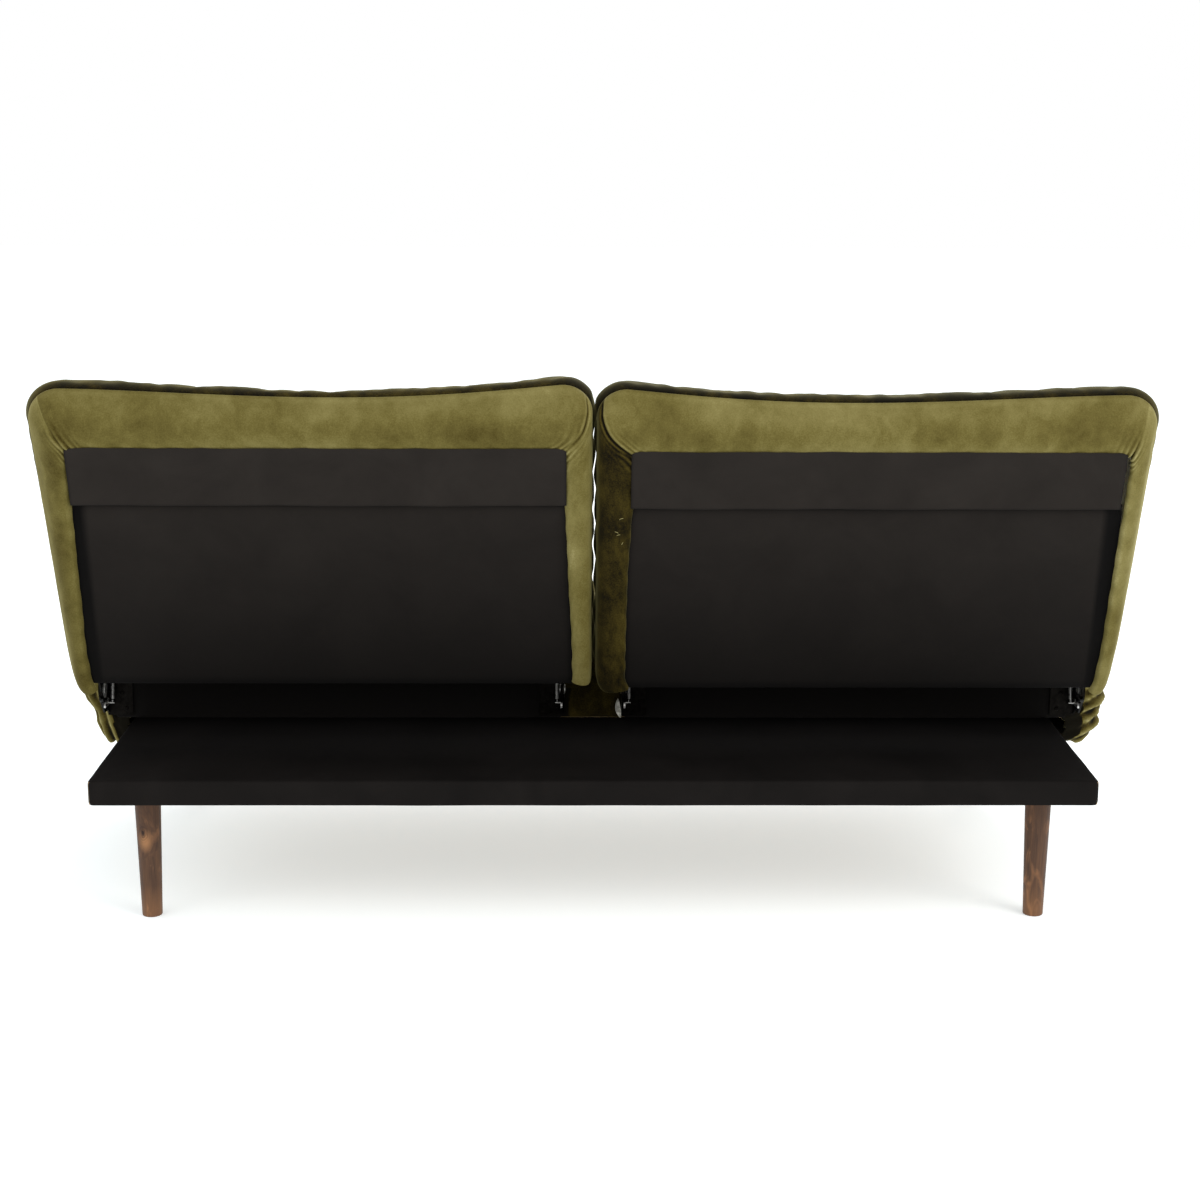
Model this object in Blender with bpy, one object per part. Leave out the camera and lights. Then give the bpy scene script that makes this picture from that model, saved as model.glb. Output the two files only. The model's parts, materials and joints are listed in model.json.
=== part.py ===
"""Split-back sofa bed: a black covered base on four tapered legs, an upholstered seat on its own frame,
and two padded backs, each on a pair of ratchet hinges that let it lie flat beside its neighbour.

Metres, +Z up. The sofa faces -Y, and left is -X. The origin is on the floor under the middle of the whole.
"""

import math

import bmesh
import bpy
from mathutils import Vector

# ---------------------------------------------------------------- driving dimensions
DEPTH = 0.890  # seat front to the rear edge of the base
GAP = 0.0003  # left between pieces that touch
CLOTH = 0.004  # upholstery cloth with its wadding
RECLINE = math.radians(18)  # the upright back leans this far from vertical

# base
BASE_HALF_WIDTH = 0.807
BASE_FRONT = -0.360
BASE_REAR = DEPTH / 2
BASE_BOTTOM = 0.212
BASE_TOP = 0.254
BASE_CLOTH = 0.002
BASE_DECK = 0.006
BASE_RAIL_WIDTH = 0.070
BASE_LIP = 0.025  # the cover turns under the frame by this much

# legs
LEG_X = 0.728
LEG_REAR_Y = BASE_REAR - 0.082
LEG_FRONT_Y = BASE_FRONT + 0.080
LEG_TOP_RADIUS = 0.0216
LEG_FOOT_RADIUS = 0.0164
LEG_STUD_RADIUS = 0.004
LEG_STUD_LENGTH = 0.026

# hinge axis and the ratchet round it, in the plane across the axis
PIVOT_Y = 0.120
PIVOT_Z = 0.320
PLATE = 0.003
HEAD_RADIUS = 0.024
PIN_RADIUS = 0.005
PIN_HOLE_RADIUS = 0.0053
NOTCH_DEPTH = 0.005
NOTCH_HALF_DEG = 7.5
NOTCH_STOPS_DEG = (-15.0, 0.0, 36.0, 72.0)  # where the back can be held
PAWL_PIVOT = (-0.030, -0.031)
PAWL_NOSE_Y = -0.0032
PAWL_BOSS_RADIUS = 0.006
PAWL_STUD_RADIUS = 0.003
PAWL_HOLE_RADIUS = 0.0033
SPRING_RADIUS = 0.004
SPRING_TOP = (-0.036, 0.010)
SPRING_FOOT = (-0.026, -0.032)

# seat
SEAT_HALF_WIDTH = 0.900
SEAT_FRONT = -DEPTH / 2
SEAT_REAR = PIVOT_Y - 0.050
SEAT_TOP = 0.400
SEAT_HEM = 0.2145
SEAT_HEM_IN = 0.036  # the cover tapers in towards its hem by this much
SEAT_RAIL_TOP = 0.310
SEAT_RAIL = 0.030
SEAT_RAIL_HEM = 0.250  # the side and front rails hang beside the base, down to here
SEAT_RAIL_SIDE = 0.858
SEAT_RAIL_FRONT = -0.405
SEAT_CORNER_CLEARANCE = 0.012  # the side rails stop short of the cover's rounded rear corners
SEAT_BEAM_HALF_WIDTH = 0.045
WEBBING = 0.002
STRAP = 0.060

# backs, in the back's own frame: x across, v out of its rear face, u up its height, hinge axis at v = u = 0
BACK_INNER = 0.003
BACK_OUTER_LOW = 0.904
BACK_OUTER_HIGH = 0.920
BACK_LOW = 0.028
BACK_HIGH = 0.5735
BACK_FRONT = -0.080
BACK_LOW_RADIUS = 0.022
BACK_OUTER_RADIUS = 0.065
BACK_INNER_RADIUS = 0.050
LEAST_RADIUS = 0.010
BACK_DIP = 0.0195  # the top edge sinks this much between its corners
BACK_DROP = 0.0085  # and its outer corner is this much lower than the inner one
STILE = 0.030
STILE_INNER = 0.0565  # the inner stile's face towards the other back
STILE_OUTER = 0.8437  # the outer stile's outer face
FRAME_THICK = 0.035
TOP_RAIL_THICK = 0.046
TOP_RAIL_LOW = 0.384
FRAME_HIGH = 0.474
FRAME_LOW = BACK_LOW + 0.0075
BOTTOM_RAIL_HIGH = 0.105
RIM_INNER = 0.048  # the opening in the cover that the lining closes
RIM_OUTER_LOW = 0.858
RIM_OUTER_HIGH = 0.842
RIM_HIGH = 0.476
RIM_LOW = 0.034
RIM_REAR = 0.047
LAP = 0.006  # the upper strip of the lining covers the cover's edge by this much
BAND_LOW = 0.378
PANEL_LOW = 0.0385

CORNER_POINTS = 5
TOP_EDGE_POINTS = 9


# ---------------------------------------------------------------- scene, materials and mesh helpers
def clear_scene():
    for old in list(bpy.data.objects):
        bpy.data.objects.remove(old, do_unlink=True)


def make_material(name, colour, roughness, metallic=0.0):
    material = bpy.data.materials.new(name)
    material.use_nodes = True
    shader = material.node_tree.nodes["Principled BSDF"]
    shader.inputs["Base Color"].default_value = (*colour, 1.0)
    shader.inputs["Roughness"].default_value = roughness
    shader.inputs["Metallic"].default_value = metallic
    material.diffuse_color = (*colour, 1.0)
    return material


def add_object(name, mesh, material, parent=None, smooth=False):
    mesh.materials.append(material)
    if smooth:
        mesh.shade_smooth()
        mesh.set_sharp_from_angle(angle=math.radians(40))
    made = bpy.data.objects.new(name, mesh)
    bpy.context.scene.collection.objects.link(made)
    made.parent = parent
    return made


def mesh_from(name, shape):
    bmesh.ops.recalc_face_normals(shape, faces=shape.faces)
    mesh = bpy.data.meshes.new(name)
    shape.to_mesh(mesh)
    shape.free()
    return mesh


def add_box(name, low, high, material, parent=None):
    """A box from two opposite corners, given in any order, so that a mirrored one needs no care."""
    low, high = [Vector(map(pick, low, high)) for pick in (min, max)]
    shape = bmesh.new()
    bmesh.ops.create_cube(shape, size=1.0)
    bmesh.ops.scale(shape, vec=high - low, verts=shape.verts)
    bmesh.ops.translate(shape, vec=(low + high) / 2, verts=shape.verts)
    return add_object(name, mesh_from(name, shape), material, parent)


def add_skin(name, rings, material, parent=None):
    """One closed body through rings of equal point counts, with a flat cap on the first and on the last."""
    shape = bmesh.new()
    loops = [[shape.verts.new(point) for point in ring] for ring in rings]
    count = len(loops[0])
    for near, far in zip(loops, loops[1:]):
        for i in range(count):
            j = (i + 1) % count
            shape.faces.new((near[i], near[j], far[j], far[i]))
    shape.faces.new(loops[0])
    shape.faces.new(loops[-1])
    return add_object(name, mesh_from(name, shape), material, parent, smooth=True)


def circle(centre, radius, count):
    return [
        (centre[0] + radius * math.cos(2 * math.pi * i / count), centre[1] + radius * math.sin(2 * math.pi * i / count))
        for i in range(count)
    ]


def add_plate(name, outlines, thickness, material, parent=None):
    """A flat plate of the first outline with the others as holes. It lies in its local XY plane, from z = 0 up."""
    curve = bpy.data.curves.new(name, "CURVE")
    curve.dimensions = "2D"
    curve.fill_mode = "BOTH"
    curve.extrude = thickness / 2
    for outline in outlines:
        spline = curve.splines.new("POLY")
        spline.points.add(len(outline) - 1)
        for point, (x, y) in zip(spline.points, outline):
            point.co = (x, y, 0, 1)
        spline.use_cyclic_u = True
    scratch = bpy.data.objects.new(name + "_outline", curve)
    bpy.context.scene.collection.objects.link(scratch)
    mesh = bpy.data.meshes.new_from_object(scratch.evaluated_get(bpy.context.evaluated_depsgraph_get()))
    bpy.data.objects.remove(scratch)
    shape = bmesh.new()
    shape.from_mesh(mesh)
    bpy.data.meshes.remove(mesh)
    bmesh.ops.remove_doubles(shape, verts=shape.verts, dist=1e-6)
    bmesh.ops.translate(shape, vec=(0, 0, thickness / 2), verts=shape.verts)
    return add_object(name, mesh_from(name, shape), material, parent)


def turn_across(plate, x):
    """Stands a plate drawn as (y, z) across the hinge axis, starting at x and reaching towards +X."""
    for vertex in plate.data.vertices:
        y, z, out = vertex.co
        vertex.co = (x + out, y, z)


def combine(target, other, operation):
    """Joins other to target, or cuts it away, and keeps only the result."""
    modifier = target.modifiers.new(operation.lower(), "BOOLEAN")
    modifier.operation = operation
    modifier.solver = "EXACT"
    modifier.object = other
    bpy.context.view_layer.update()
    evaluated = target.evaluated_get(bpy.context.evaluated_depsgraph_get())
    result = bpy.data.meshes.new_from_object(evaluated)
    target.modifiers.clear()
    target.data = result
    bpy.data.objects.remove(other, do_unlink=True)


# ---------------------------------------------------------------- outlines
def corner(centre, radius, start_deg):
    """A quarter turn of points, anticlockwise from start_deg."""
    steps = CORNER_POINTS - 1
    angles = [math.radians(start_deg + 90 * i / steps) for i in range(CORNER_POINTS)]
    return [(centre[0] + radius * math.cos(a), centre[1] + radius * math.sin(a)) for a in angles]


def rounded_rectangle(half_width, front, rear, front_radius, rear_radius):
    """Plan outline, symmetrical across, anticlockwise from the rear left corner."""
    return (
        corner((-half_width + rear_radius, rear - rear_radius), rear_radius, 90)
        + corner((-half_width + front_radius, front + front_radius), front_radius, 180)
        + corner((half_width - front_radius, front + front_radius), front_radius, 270)
        + corner((half_width - rear_radius, rear - rear_radius), rear_radius, 0)
    )


def top_edge_height(share, dip):
    """How far the top edge lies below the inner corner, at this share of the way out to the outer one."""
    return -dip * math.sin(math.pi * share**0.8) ** 1.3 - BACK_DROP * share * dip / BACK_DIP


def back_ring(side, v, edges, dip):
    """The outline of a back at depth v: flared outside, dipped along the top. The edges are how far it lies in from
    the inner edge, the outer edge's foot and head, the top and the bottom. Anticlockwise from the lower inner corner."""
    in_inner, in_foot, in_head, in_top, in_bottom = edges
    inner, foot, head = BACK_INNER + in_inner, BACK_OUTER_LOW - in_foot, BACK_OUTER_HIGH - in_head
    low, high = BACK_LOW + in_bottom, BACK_HIGH - in_top
    low_radius = BACK_LOW_RADIUS
    outer_radius = max(BACK_OUTER_RADIUS - in_head, LEAST_RADIUS)
    inner_radius = max(BACK_INNER_RADIUS - in_inner, LEAST_RADIUS)
    outer_high = high - BACK_DROP * dip / BACK_DIP
    points = corner((inner + low_radius, low + low_radius), low_radius, 180)
    points += corner((foot - low_radius, low + low_radius), low_radius, 270)
    points += corner((head - outer_radius, outer_high - outer_radius), outer_radius, 0)
    start, end = head - outer_radius, inner + inner_radius
    for i in range(1, TOP_EDGE_POINTS + 1):
        share = i / (TOP_EDGE_POINTS + 1)
        points.append((start + (end - start) * share, high + top_edge_height(1 - share, dip)))
    points += corner((inner + inner_radius, high - inner_radius), inner_radius, 90)
    return [(side * x, v, u) for x, u in points]


# ---------------------------------------------------------------- base and legs
def build_base(timber, black_cloth, board):
    inner = BASE_HALF_WIDTH - BASE_CLOTH - GAP
    front, rear = BASE_FRONT + BASE_CLOTH + GAP, BASE_REAR - BASE_CLOTH - GAP
    low = BASE_BOTTOM + BASE_CLOTH + GAP
    deck_top = BASE_TOP - BASE_CLOTH - GAP
    rail_top = deck_top - BASE_DECK - GAP
    across = [
        ("base_rail_front", front, front + BASE_RAIL_WIDTH),
        ("base_rail_rear", rear - BASE_RAIL_WIDTH, rear),
    ]
    rails = {}
    for name, start, end in across:
        rails[name] = add_box(name, (-inner, start, low), (inner, end, rail_top), timber)
    for name, side in (("base_rail_left", -1), ("base_rail_right", 1)):
        start, end = front + BASE_RAIL_WIDTH + GAP, rear - BASE_RAIL_WIDTH - GAP
        rails[name] = add_box(
            name, (side * (inner - BASE_RAIL_WIDTH), start, low), (side * inner, end, rail_top), timber
        )
    add_box("base_deck", (-inner, front, rail_top + GAP), (inner, rear, deck_top), board)
    cover = add_box(
        "base_cover", (-BASE_HALF_WIDTH, BASE_FRONT, BASE_BOTTOM), (BASE_HALF_WIDTH, BASE_REAR, BASE_TOP), black_cloth
    )
    hollow = add_box(
        "hollow",
        (-inner - GAP, BASE_FRONT + BASE_CLOTH, BASE_BOTTOM + BASE_CLOTH),
        (inner + GAP, BASE_REAR - BASE_CLOTH, BASE_TOP - BASE_CLOTH),
        black_cloth,
    )
    mouth = add_box(
        "mouth",
        (-BASE_HALF_WIDTH + BASE_LIP, BASE_FRONT + BASE_LIP, BASE_BOTTOM - 0.01),
        (BASE_HALF_WIDTH - BASE_LIP, BASE_REAR - BASE_LIP, BASE_BOTTOM + 0.01),
        black_cloth,
    )
    combine(hollow, mouth, "UNION")
    combine(cover, hollow, "DIFFERENCE")
    return rails


def leg_rings(x, y):
    """A tapered turned leg with a rounded foot edge and the threaded stud that screws into the rail."""
    top = BASE_BOTTOM - GAP
    profile = [
        (LEG_FOOT_RADIUS - 0.0015, 0.0),
        (LEG_FOOT_RADIUS, 0.0025),
        (LEG_TOP_RADIUS, top - 0.002),
        (LEG_TOP_RADIUS - 0.002, top),
        (LEG_STUD_RADIUS, top),
        (LEG_STUD_RADIUS, top + LEG_STUD_LENGTH),
    ]
    return [[(px, py, z) for px, py in circle((x, y), radius, 20)] for radius, z in profile]


def build_legs(rails, stained_wood):
    places = [
        ("leg_front_left", -LEG_X, LEG_FRONT_Y, "base_rail_front"),
        ("leg_front_right", LEG_X, LEG_FRONT_Y, "base_rail_front"),
        ("leg_rear_left", -LEG_X, LEG_REAR_Y, "base_rail_rear"),
        ("leg_rear_right", LEG_X, LEG_REAR_Y, "base_rail_rear"),
    ]
    for name, x, y, rail in places:
        add_skin(name, leg_rings(x, y), stained_wood)
        bore = [[(px, py, z) for px, py in circle((x, y), LEG_STUD_RADIUS + 0.0005, 20)] for z in (0.15, 0.30)]
        combine(rails[rail], add_skin("bore", bore, stained_wood), "DIFFERENCE")


# ---------------------------------------------------------------- seat
def seat_ring(z, half_width, front, rear):
    outline = rounded_rectangle(half_width, front, rear, 0.060, 0.035)
    return [(x, y, z) for x, y in outline]


def seat_profile():
    """(height, inset all round, rear inset) of the cover's outside, from the crown of the cushion down to its hem."""
    return [
        (SEAT_TOP, 0.110, 0.110),
        (SEAT_TOP - 0.004, 0.050, 0.054),
        (SEAT_TOP - 0.015, 0.020, 0.025),
        (SEAT_TOP - 0.032, 0.007, 0.010),
        (SEAT_TOP - 0.055, 0.001, 0.001),
        (SEAT_TOP - 0.085, 0.000, 0.000),
        (SEAT_HEM + 0.085, 0.001, 0.000),
        (SEAT_HEM + 0.065, 0.008, 0.000),
        (SEAT_HEM + 0.043, 0.019, 0.000),
        (SEAT_HEM + 0.021, 0.029, 0.000),
        (SEAT_HEM, SEAT_HEM_IN, 0.000),
    ]


def seat_shell(profile, inset, drop):
    """Rings of the profile moved inwards by inset and down by drop."""
    return [
        seat_ring(
            z - drop,
            SEAT_HALF_WIDTH - side - inset,
            SEAT_FRONT + side + inset,
            SEAT_REAR - rear - inset,
        )
        for z, side, rear in profile
    ]


def build_seat_frame(timber):
    rear = SEAT_REAR - CLOTH - GAP
    side_front = SEAT_RAIL_FRONT + SEAT_RAIL - SEAT_CORNER_CLEARANCE
    low = BASE_TOP + GAP
    inner_side = SEAT_RAIL_SIDE - SEAT_RAIL
    for name, side in (("seat_rail_left", -1), ("seat_rail_right", 1)):
        add_box(
            name,
            (side * inner_side, side_front, SEAT_RAIL_HEM),
            (side * SEAT_RAIL_SIDE, rear - SEAT_CORNER_CLEARANCE, SEAT_RAIL_TOP),
            timber,
        )
    reach = inner_side - GAP
    behind_front = SEAT_RAIL_FRONT + SEAT_RAIL
    add_box("seat_rail_front", (-reach, SEAT_RAIL_FRONT, SEAT_RAIL_HEM), (reach, behind_front, SEAT_RAIL_TOP), timber)
    add_box("seat_rail_rear", (-reach, rear - SEAT_RAIL, low), (reach, rear, SEAT_RAIL_TOP), timber)
    add_box(
        "seat_rail_centre",
        (-SEAT_BEAM_HALF_WIDTH, behind_front + GAP, low),
        (SEAT_BEAM_HALF_WIDTH, rear - SEAT_RAIL - GAP, SEAT_RAIL_TOP),
        timber,
    )


def lattice(low, high, across, along):
    """Outline and holes of a web of straps: across straps side by side, along straps crossing them."""
    outlines = [[(low[0], low[1]), (high[0], low[1]), (high[0], high[1]), (low[0], high[1])]]
    wide = (high[0] - low[0] - across * STRAP) / (across - 1)
    deep = (high[1] - low[1] - along * STRAP) / (along - 1)
    for i in range(across - 1):
        for j in range(along - 1):
            x = low[0] + STRAP + i * (wide + STRAP)
            y = low[1] + STRAP + j * (deep + STRAP)
            outlines.append([(x, y), (x, y + deep), (x + wide, y + deep), (x + wide, y)])
    return outlines


def build_seat_webbing(webbing):
    for name, side in (("seat_webbing_left", -1), ("seat_webbing_right", 1)):
        ends = sorted((side * 0.006, side * (SEAT_RAIL_SIDE - 0.004)))
        front, rear = SEAT_RAIL_FRONT + SEAT_CORNER_CLEARANCE, SEAT_REAR - 0.020
        web = add_plate(name, lattice((ends[0], front), (ends[1], rear), 5, 3), WEBBING, webbing)
        web.location.z = SEAT_RAIL_TOP + GAP


def build_seat_cushion(velvet, foam, black_cloth):
    profile = seat_profile()
    outside = seat_shell(profile, 0.0, 0.0)
    inside = seat_shell(profile[:-1], CLOTH, CLOTH) + seat_shell(profile[-1:], CLOTH, 0.0)
    cover = add_skin("seat_cover", outside + inside[::-1], velvet)
    base_gap = add_box(
        "base_gap", (-BASE_HALF_WIDTH - GAP, 0.0, 0.1), (BASE_HALF_WIDTH + GAP, 0.2, BASE_TOP + GAP), velvet
    )
    combine(cover, base_gap, "DIFFERENCE")
    foam_rings = seat_shell(profile[:6], CLOTH + 0.0005, CLOTH + 0.0005)
    foot = SEAT_RAIL_TOP + WEBBING + 2 * GAP
    foam_rings[-1] = [(x, y, foot) for x, y, _ in foam_rings[-1]]
    add_skin("seat_foam", foam_rings, foam)
    for name, side in (("seat_rear_lining_left", -1), ("seat_rear_lining_right", 1)):
        add_box(
            name,
            (side * 0.100, SEAT_REAR + GAP, BASE_TOP + 0.001),
            (side * 0.800, SEAT_REAR + GAP + 0.0012, 0.336),
            black_cloth,
        )
    edge = SEAT_HEM_IN + CLOTH + 0.001
    around = rounded_rectangle(SEAT_HALF_WIDTH - edge, SEAT_FRONT + edge, SEAT_REAR - CLOTH - 0.002, 0.060, 0.036)
    beside_base = BASE_HALF_WIDTH + GAP
    notch = [(side * beside_base, around[0][1]) for side in (1, -1)]
    notch[1:1] = [(side * beside_base, BASE_FRONT - GAP) for side in (1, -1)]
    lining = add_plate("seat_dust_cover", [around + notch], 0.0015, black_cloth)
    lining.location.z = SEAT_HEM + 0.002


# ---------------------------------------------------------------- backs
def rim_edges(more):
    return (
        RIM_INNER - BACK_INNER + more,
        BACK_OUTER_LOW - RIM_OUTER_LOW + more,
        BACK_OUTER_HIGH - RIM_OUTER_HIGH + more,
        BACK_HIGH - RIM_HIGH + more,
        RIM_LOW - BACK_LOW + more,
    )


def back_outside():
    """(v, edges, dip) of the cover's outside, from its rim at the rear to the front face."""
    return [
        (RIM_REAR, rim_edges(0.0), 0.000),
        (0.0445, (0.014, 0.030, 0.055, 0.063, 0.001), 0.005),
        (0.0350, (0.004, 0.020, 0.036, 0.038, 0.000), 0.010),
        (0.0180, (0.001, 0.012, 0.020, 0.016, 0.000), 0.016),
        (0.0000, (0.000, 0.007, 0.010, 0.002, 0.001), BACK_DIP),
        (-0.0280, (0.000, 0.000, 0.000, 0.000, 0.009), BACK_DIP),
        (-0.0500, (0.003, 0.003, 0.003, 0.003, 0.018), BACK_DIP),
        (-0.0660, (0.012, 0.012, 0.012, 0.012, 0.034), BACK_DIP),
        (-0.0760, (0.026, 0.026, 0.026, 0.026, 0.053), BACK_DIP),
        (BACK_FRONT, (0.045, 0.045, 0.045, 0.045, 0.077), BACK_DIP),
    ]


def back_inside():
    """The cover's inside, from its rim to the front, a cloth's thickness in from the outside."""
    return [
        (RIM_REAR - 0.0035, rim_edges(0.0005), 0.000),
        (0.0410, (0.016, 0.033, 0.058, 0.066, 0.0050), 0.005),
        (0.0325, (0.008, 0.024, 0.040, 0.042, 0.0045), 0.010),
        (0.0160, (0.005, 0.016, 0.024, 0.020, 0.0040), 0.016),
        (0.0000, (0.004, 0.011, 0.014, 0.006, 0.0050), BACK_DIP),
        (-0.0280, (0.004, 0.004, 0.004, 0.004, 0.0130), BACK_DIP),
        (-0.0480, (0.007, 0.007, 0.007, 0.007, 0.0215), BACK_DIP),
        (-0.0630, (0.016, 0.016, 0.016, 0.016, 0.0370), BACK_DIP),
        (-0.0722, (0.0295, 0.0295, 0.0295, 0.0295, 0.0555), BACK_DIP),
        (BACK_FRONT + CLOTH, (0.047, 0.047, 0.047, 0.047, 0.0790), BACK_DIP),
    ]


def rings_of(side, rows, grow=0.0):
    return [back_ring(side, v, [edge + grow for edge in edges], dip) for v, edges, dip in rows]


def build_back_cushion(name, side, pivot, velvet, foam):
    outside, inside = back_outside(), back_inside()
    cover = add_skin(name + "_cover", rings_of(side, outside)[::-1] + rings_of(side, inside), velvet, pivot)
    for x in hinge_planes():
        slot = add_box(
            "slot",
            (side * (x - 0.0010), -0.0060, BACK_LOW - 0.010),
            (side * (x + PLATE + 0.0010), 0.0330, BACK_LOW + 0.015),
            velvet,
            pivot,
        )
        combine(cover, slot, "DIFFERENCE")
    rows = [(-0.0032, (0.005, 0.012, 0.015, 0.007, 0.0065), BACK_DIP)]
    rows += [(v + 0.0006, edges, dip) for v, edges, dip in inside[5:]]
    add_skin(name + "_foam", rings_of(side, rows, 0.0006), foam, pivot)


def build_back_frame(name, side, pivot, timber, webbing):
    for part, start in (("stile_inner", STILE_INNER), ("stile_outer", STILE_OUTER - STILE)):
        add_box(
            f"{name}_{part}",
            (side * start, 0.0, FRAME_LOW),
            (side * (start + STILE), FRAME_THICK, FRAME_HIGH),
            timber,
            pivot,
        )
    start, end = STILE_INNER + STILE + GAP, STILE_OUTER - STILE - GAP
    add_box(
        name + "_top_rail",
        (side * start, 0.0, TOP_RAIL_LOW),
        (side * end, TOP_RAIL_THICK, FRAME_HIGH),
        timber,
        pivot,
    )
    add_box(
        name + "_bottom_rail",
        (side * start, 0.0, FRAME_LOW),
        (side * end, FRAME_THICK, BOTTOM_RAIL_HIGH),
        timber,
        pivot,
    )
    ends = sorted((side * (STILE_INNER + 0.004), side * (STILE_OUTER - 0.004)))
    straps = lattice((ends[0], FRAME_LOW + 0.006), (ends[1], FRAME_HIGH - 0.004), 5, 3)
    web = add_plate(name + "_webbing", straps, WEBBING, webbing, pivot)
    for vertex in web.data.vertices:
        x, u, out = vertex.co
        vertex.co = (x, -out - GAP, u)


def build_back_lining(name, side, pivot, black_cloth):
    """The broad black strip stapled over the cover's edge, and the panel below it, deeper in, on the stiles."""
    add_box(
        name + "_dust_band",
        (side * (RIM_INNER - LAP), RIM_REAR + GAP, BAND_LOW),
        (side * (RIM_OUTER_HIGH + LAP), RIM_REAR + 0.0020, RIM_HIGH + LAP),
        black_cloth,
        pivot,
    )
    add_box(
        name + "_dust_panel",
        (side * (STILE_INNER - 0.006), FRAME_THICK + GAP, PANEL_LOW),
        (side * (STILE_OUTER - 0.001), FRAME_THICK + 0.0018, TOP_RAIL_LOW - GAP),
        black_cloth,
        pivot,
    )


# ---------------------------------------------------------------- hinges
def hinge_planes():
    """The lower x of the back arm's plate, beside the inner stile and beside the outer one."""
    return (STILE_INNER - GAP - PLATE, STILE_OUTER + GAP)


def head_outline():
    """(v, u) outline of the back arm: a notched ratchet head round the axis, and a bar that rises up the stile."""
    nose = math.degrees(math.atan2(-HEAD_RADIUS, PAWL_NOSE_Y))
    centres = sorted(nose + stop + math.degrees(RECLINE) for stop in NOTCH_STOPS_DEG)
    start, end = -206.0, 20.0
    spots = [(start + (end - start) * i / 24, HEAD_RADIUS) for i in range(25)]
    spots = [s for s in spots if all(abs(s[0] - c) > NOTCH_HALF_DEG + 1.0 for c in centres)]
    for centre in centres:
        spots += [
            (centre - NOTCH_HALF_DEG, HEAD_RADIUS),
            (centre - NOTCH_HALF_DEG + 1.0, HEAD_RADIUS - NOTCH_DEPTH),
            (centre + NOTCH_HALF_DEG - 1.0, HEAD_RADIUS - NOTCH_DEPTH),
            (centre + NOTCH_HALF_DEG, HEAD_RADIUS),
        ]
    head = [(r * math.cos(math.radians(a)), r * math.sin(math.radians(a))) for a, r in sorted(spots)]
    bar = [(0.031, 0.038), (0.031, 0.228), (0.027, 0.236), (0.0175, 0.240), (0.008, 0.236), (0.004, 0.228), (0.004, 0.034)]
    return head + bar


def pawl_outline():
    """(y, z) outline round the hinge axis: a boss on its stud, and an arm whose nose stands just off the ratchet."""
    boss = [math.radians(a) for a in range(70, 291, 20)]
    py, pz = PAWL_PIVOT
    round_end = [(py + PAWL_BOSS_RADIUS * math.cos(a), pz + PAWL_BOSS_RADIUS * math.sin(a)) for a in boss]
    arm = [
        (-0.006, -0.0360),
        (0.0005, -0.0345),
        (0.0005, -0.0310),
        (PAWL_NOSE_Y + 0.0010, -0.0250),
        (PAWL_NOSE_Y - 0.0010, -0.0250),
        (PAWL_NOSE_Y - 0.0026, -0.0300),
        (-0.012, -0.0310),
    ]
    return round_end + arm


def seat_arm_outline():
    """(y, z) outline round the hinge axis: a round head with a web that runs forward to the mounting flange."""
    angles = [math.radians(100 - 10 * i) for i in range(17)]
    arc = [(HEAD_RADIUS * math.cos(a), HEAD_RADIUS * math.sin(a)) for a in angles]
    front = -0.0497
    return arc + [(-0.010, -0.046), (-0.030, -0.046), (front, -0.058), (front, 0.018), (-0.030, 0.018)]


def add_pin(name, x, centre, steps, material, parent=None, count=16):
    """A round pin along X. steps are (distance from x, radius), in order."""
    rings = [[(x + out, y, z) for y, z in circle(centre, radius, count)] for out, radius in steps]
    return add_skin(name, rings, material, parent)


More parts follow.
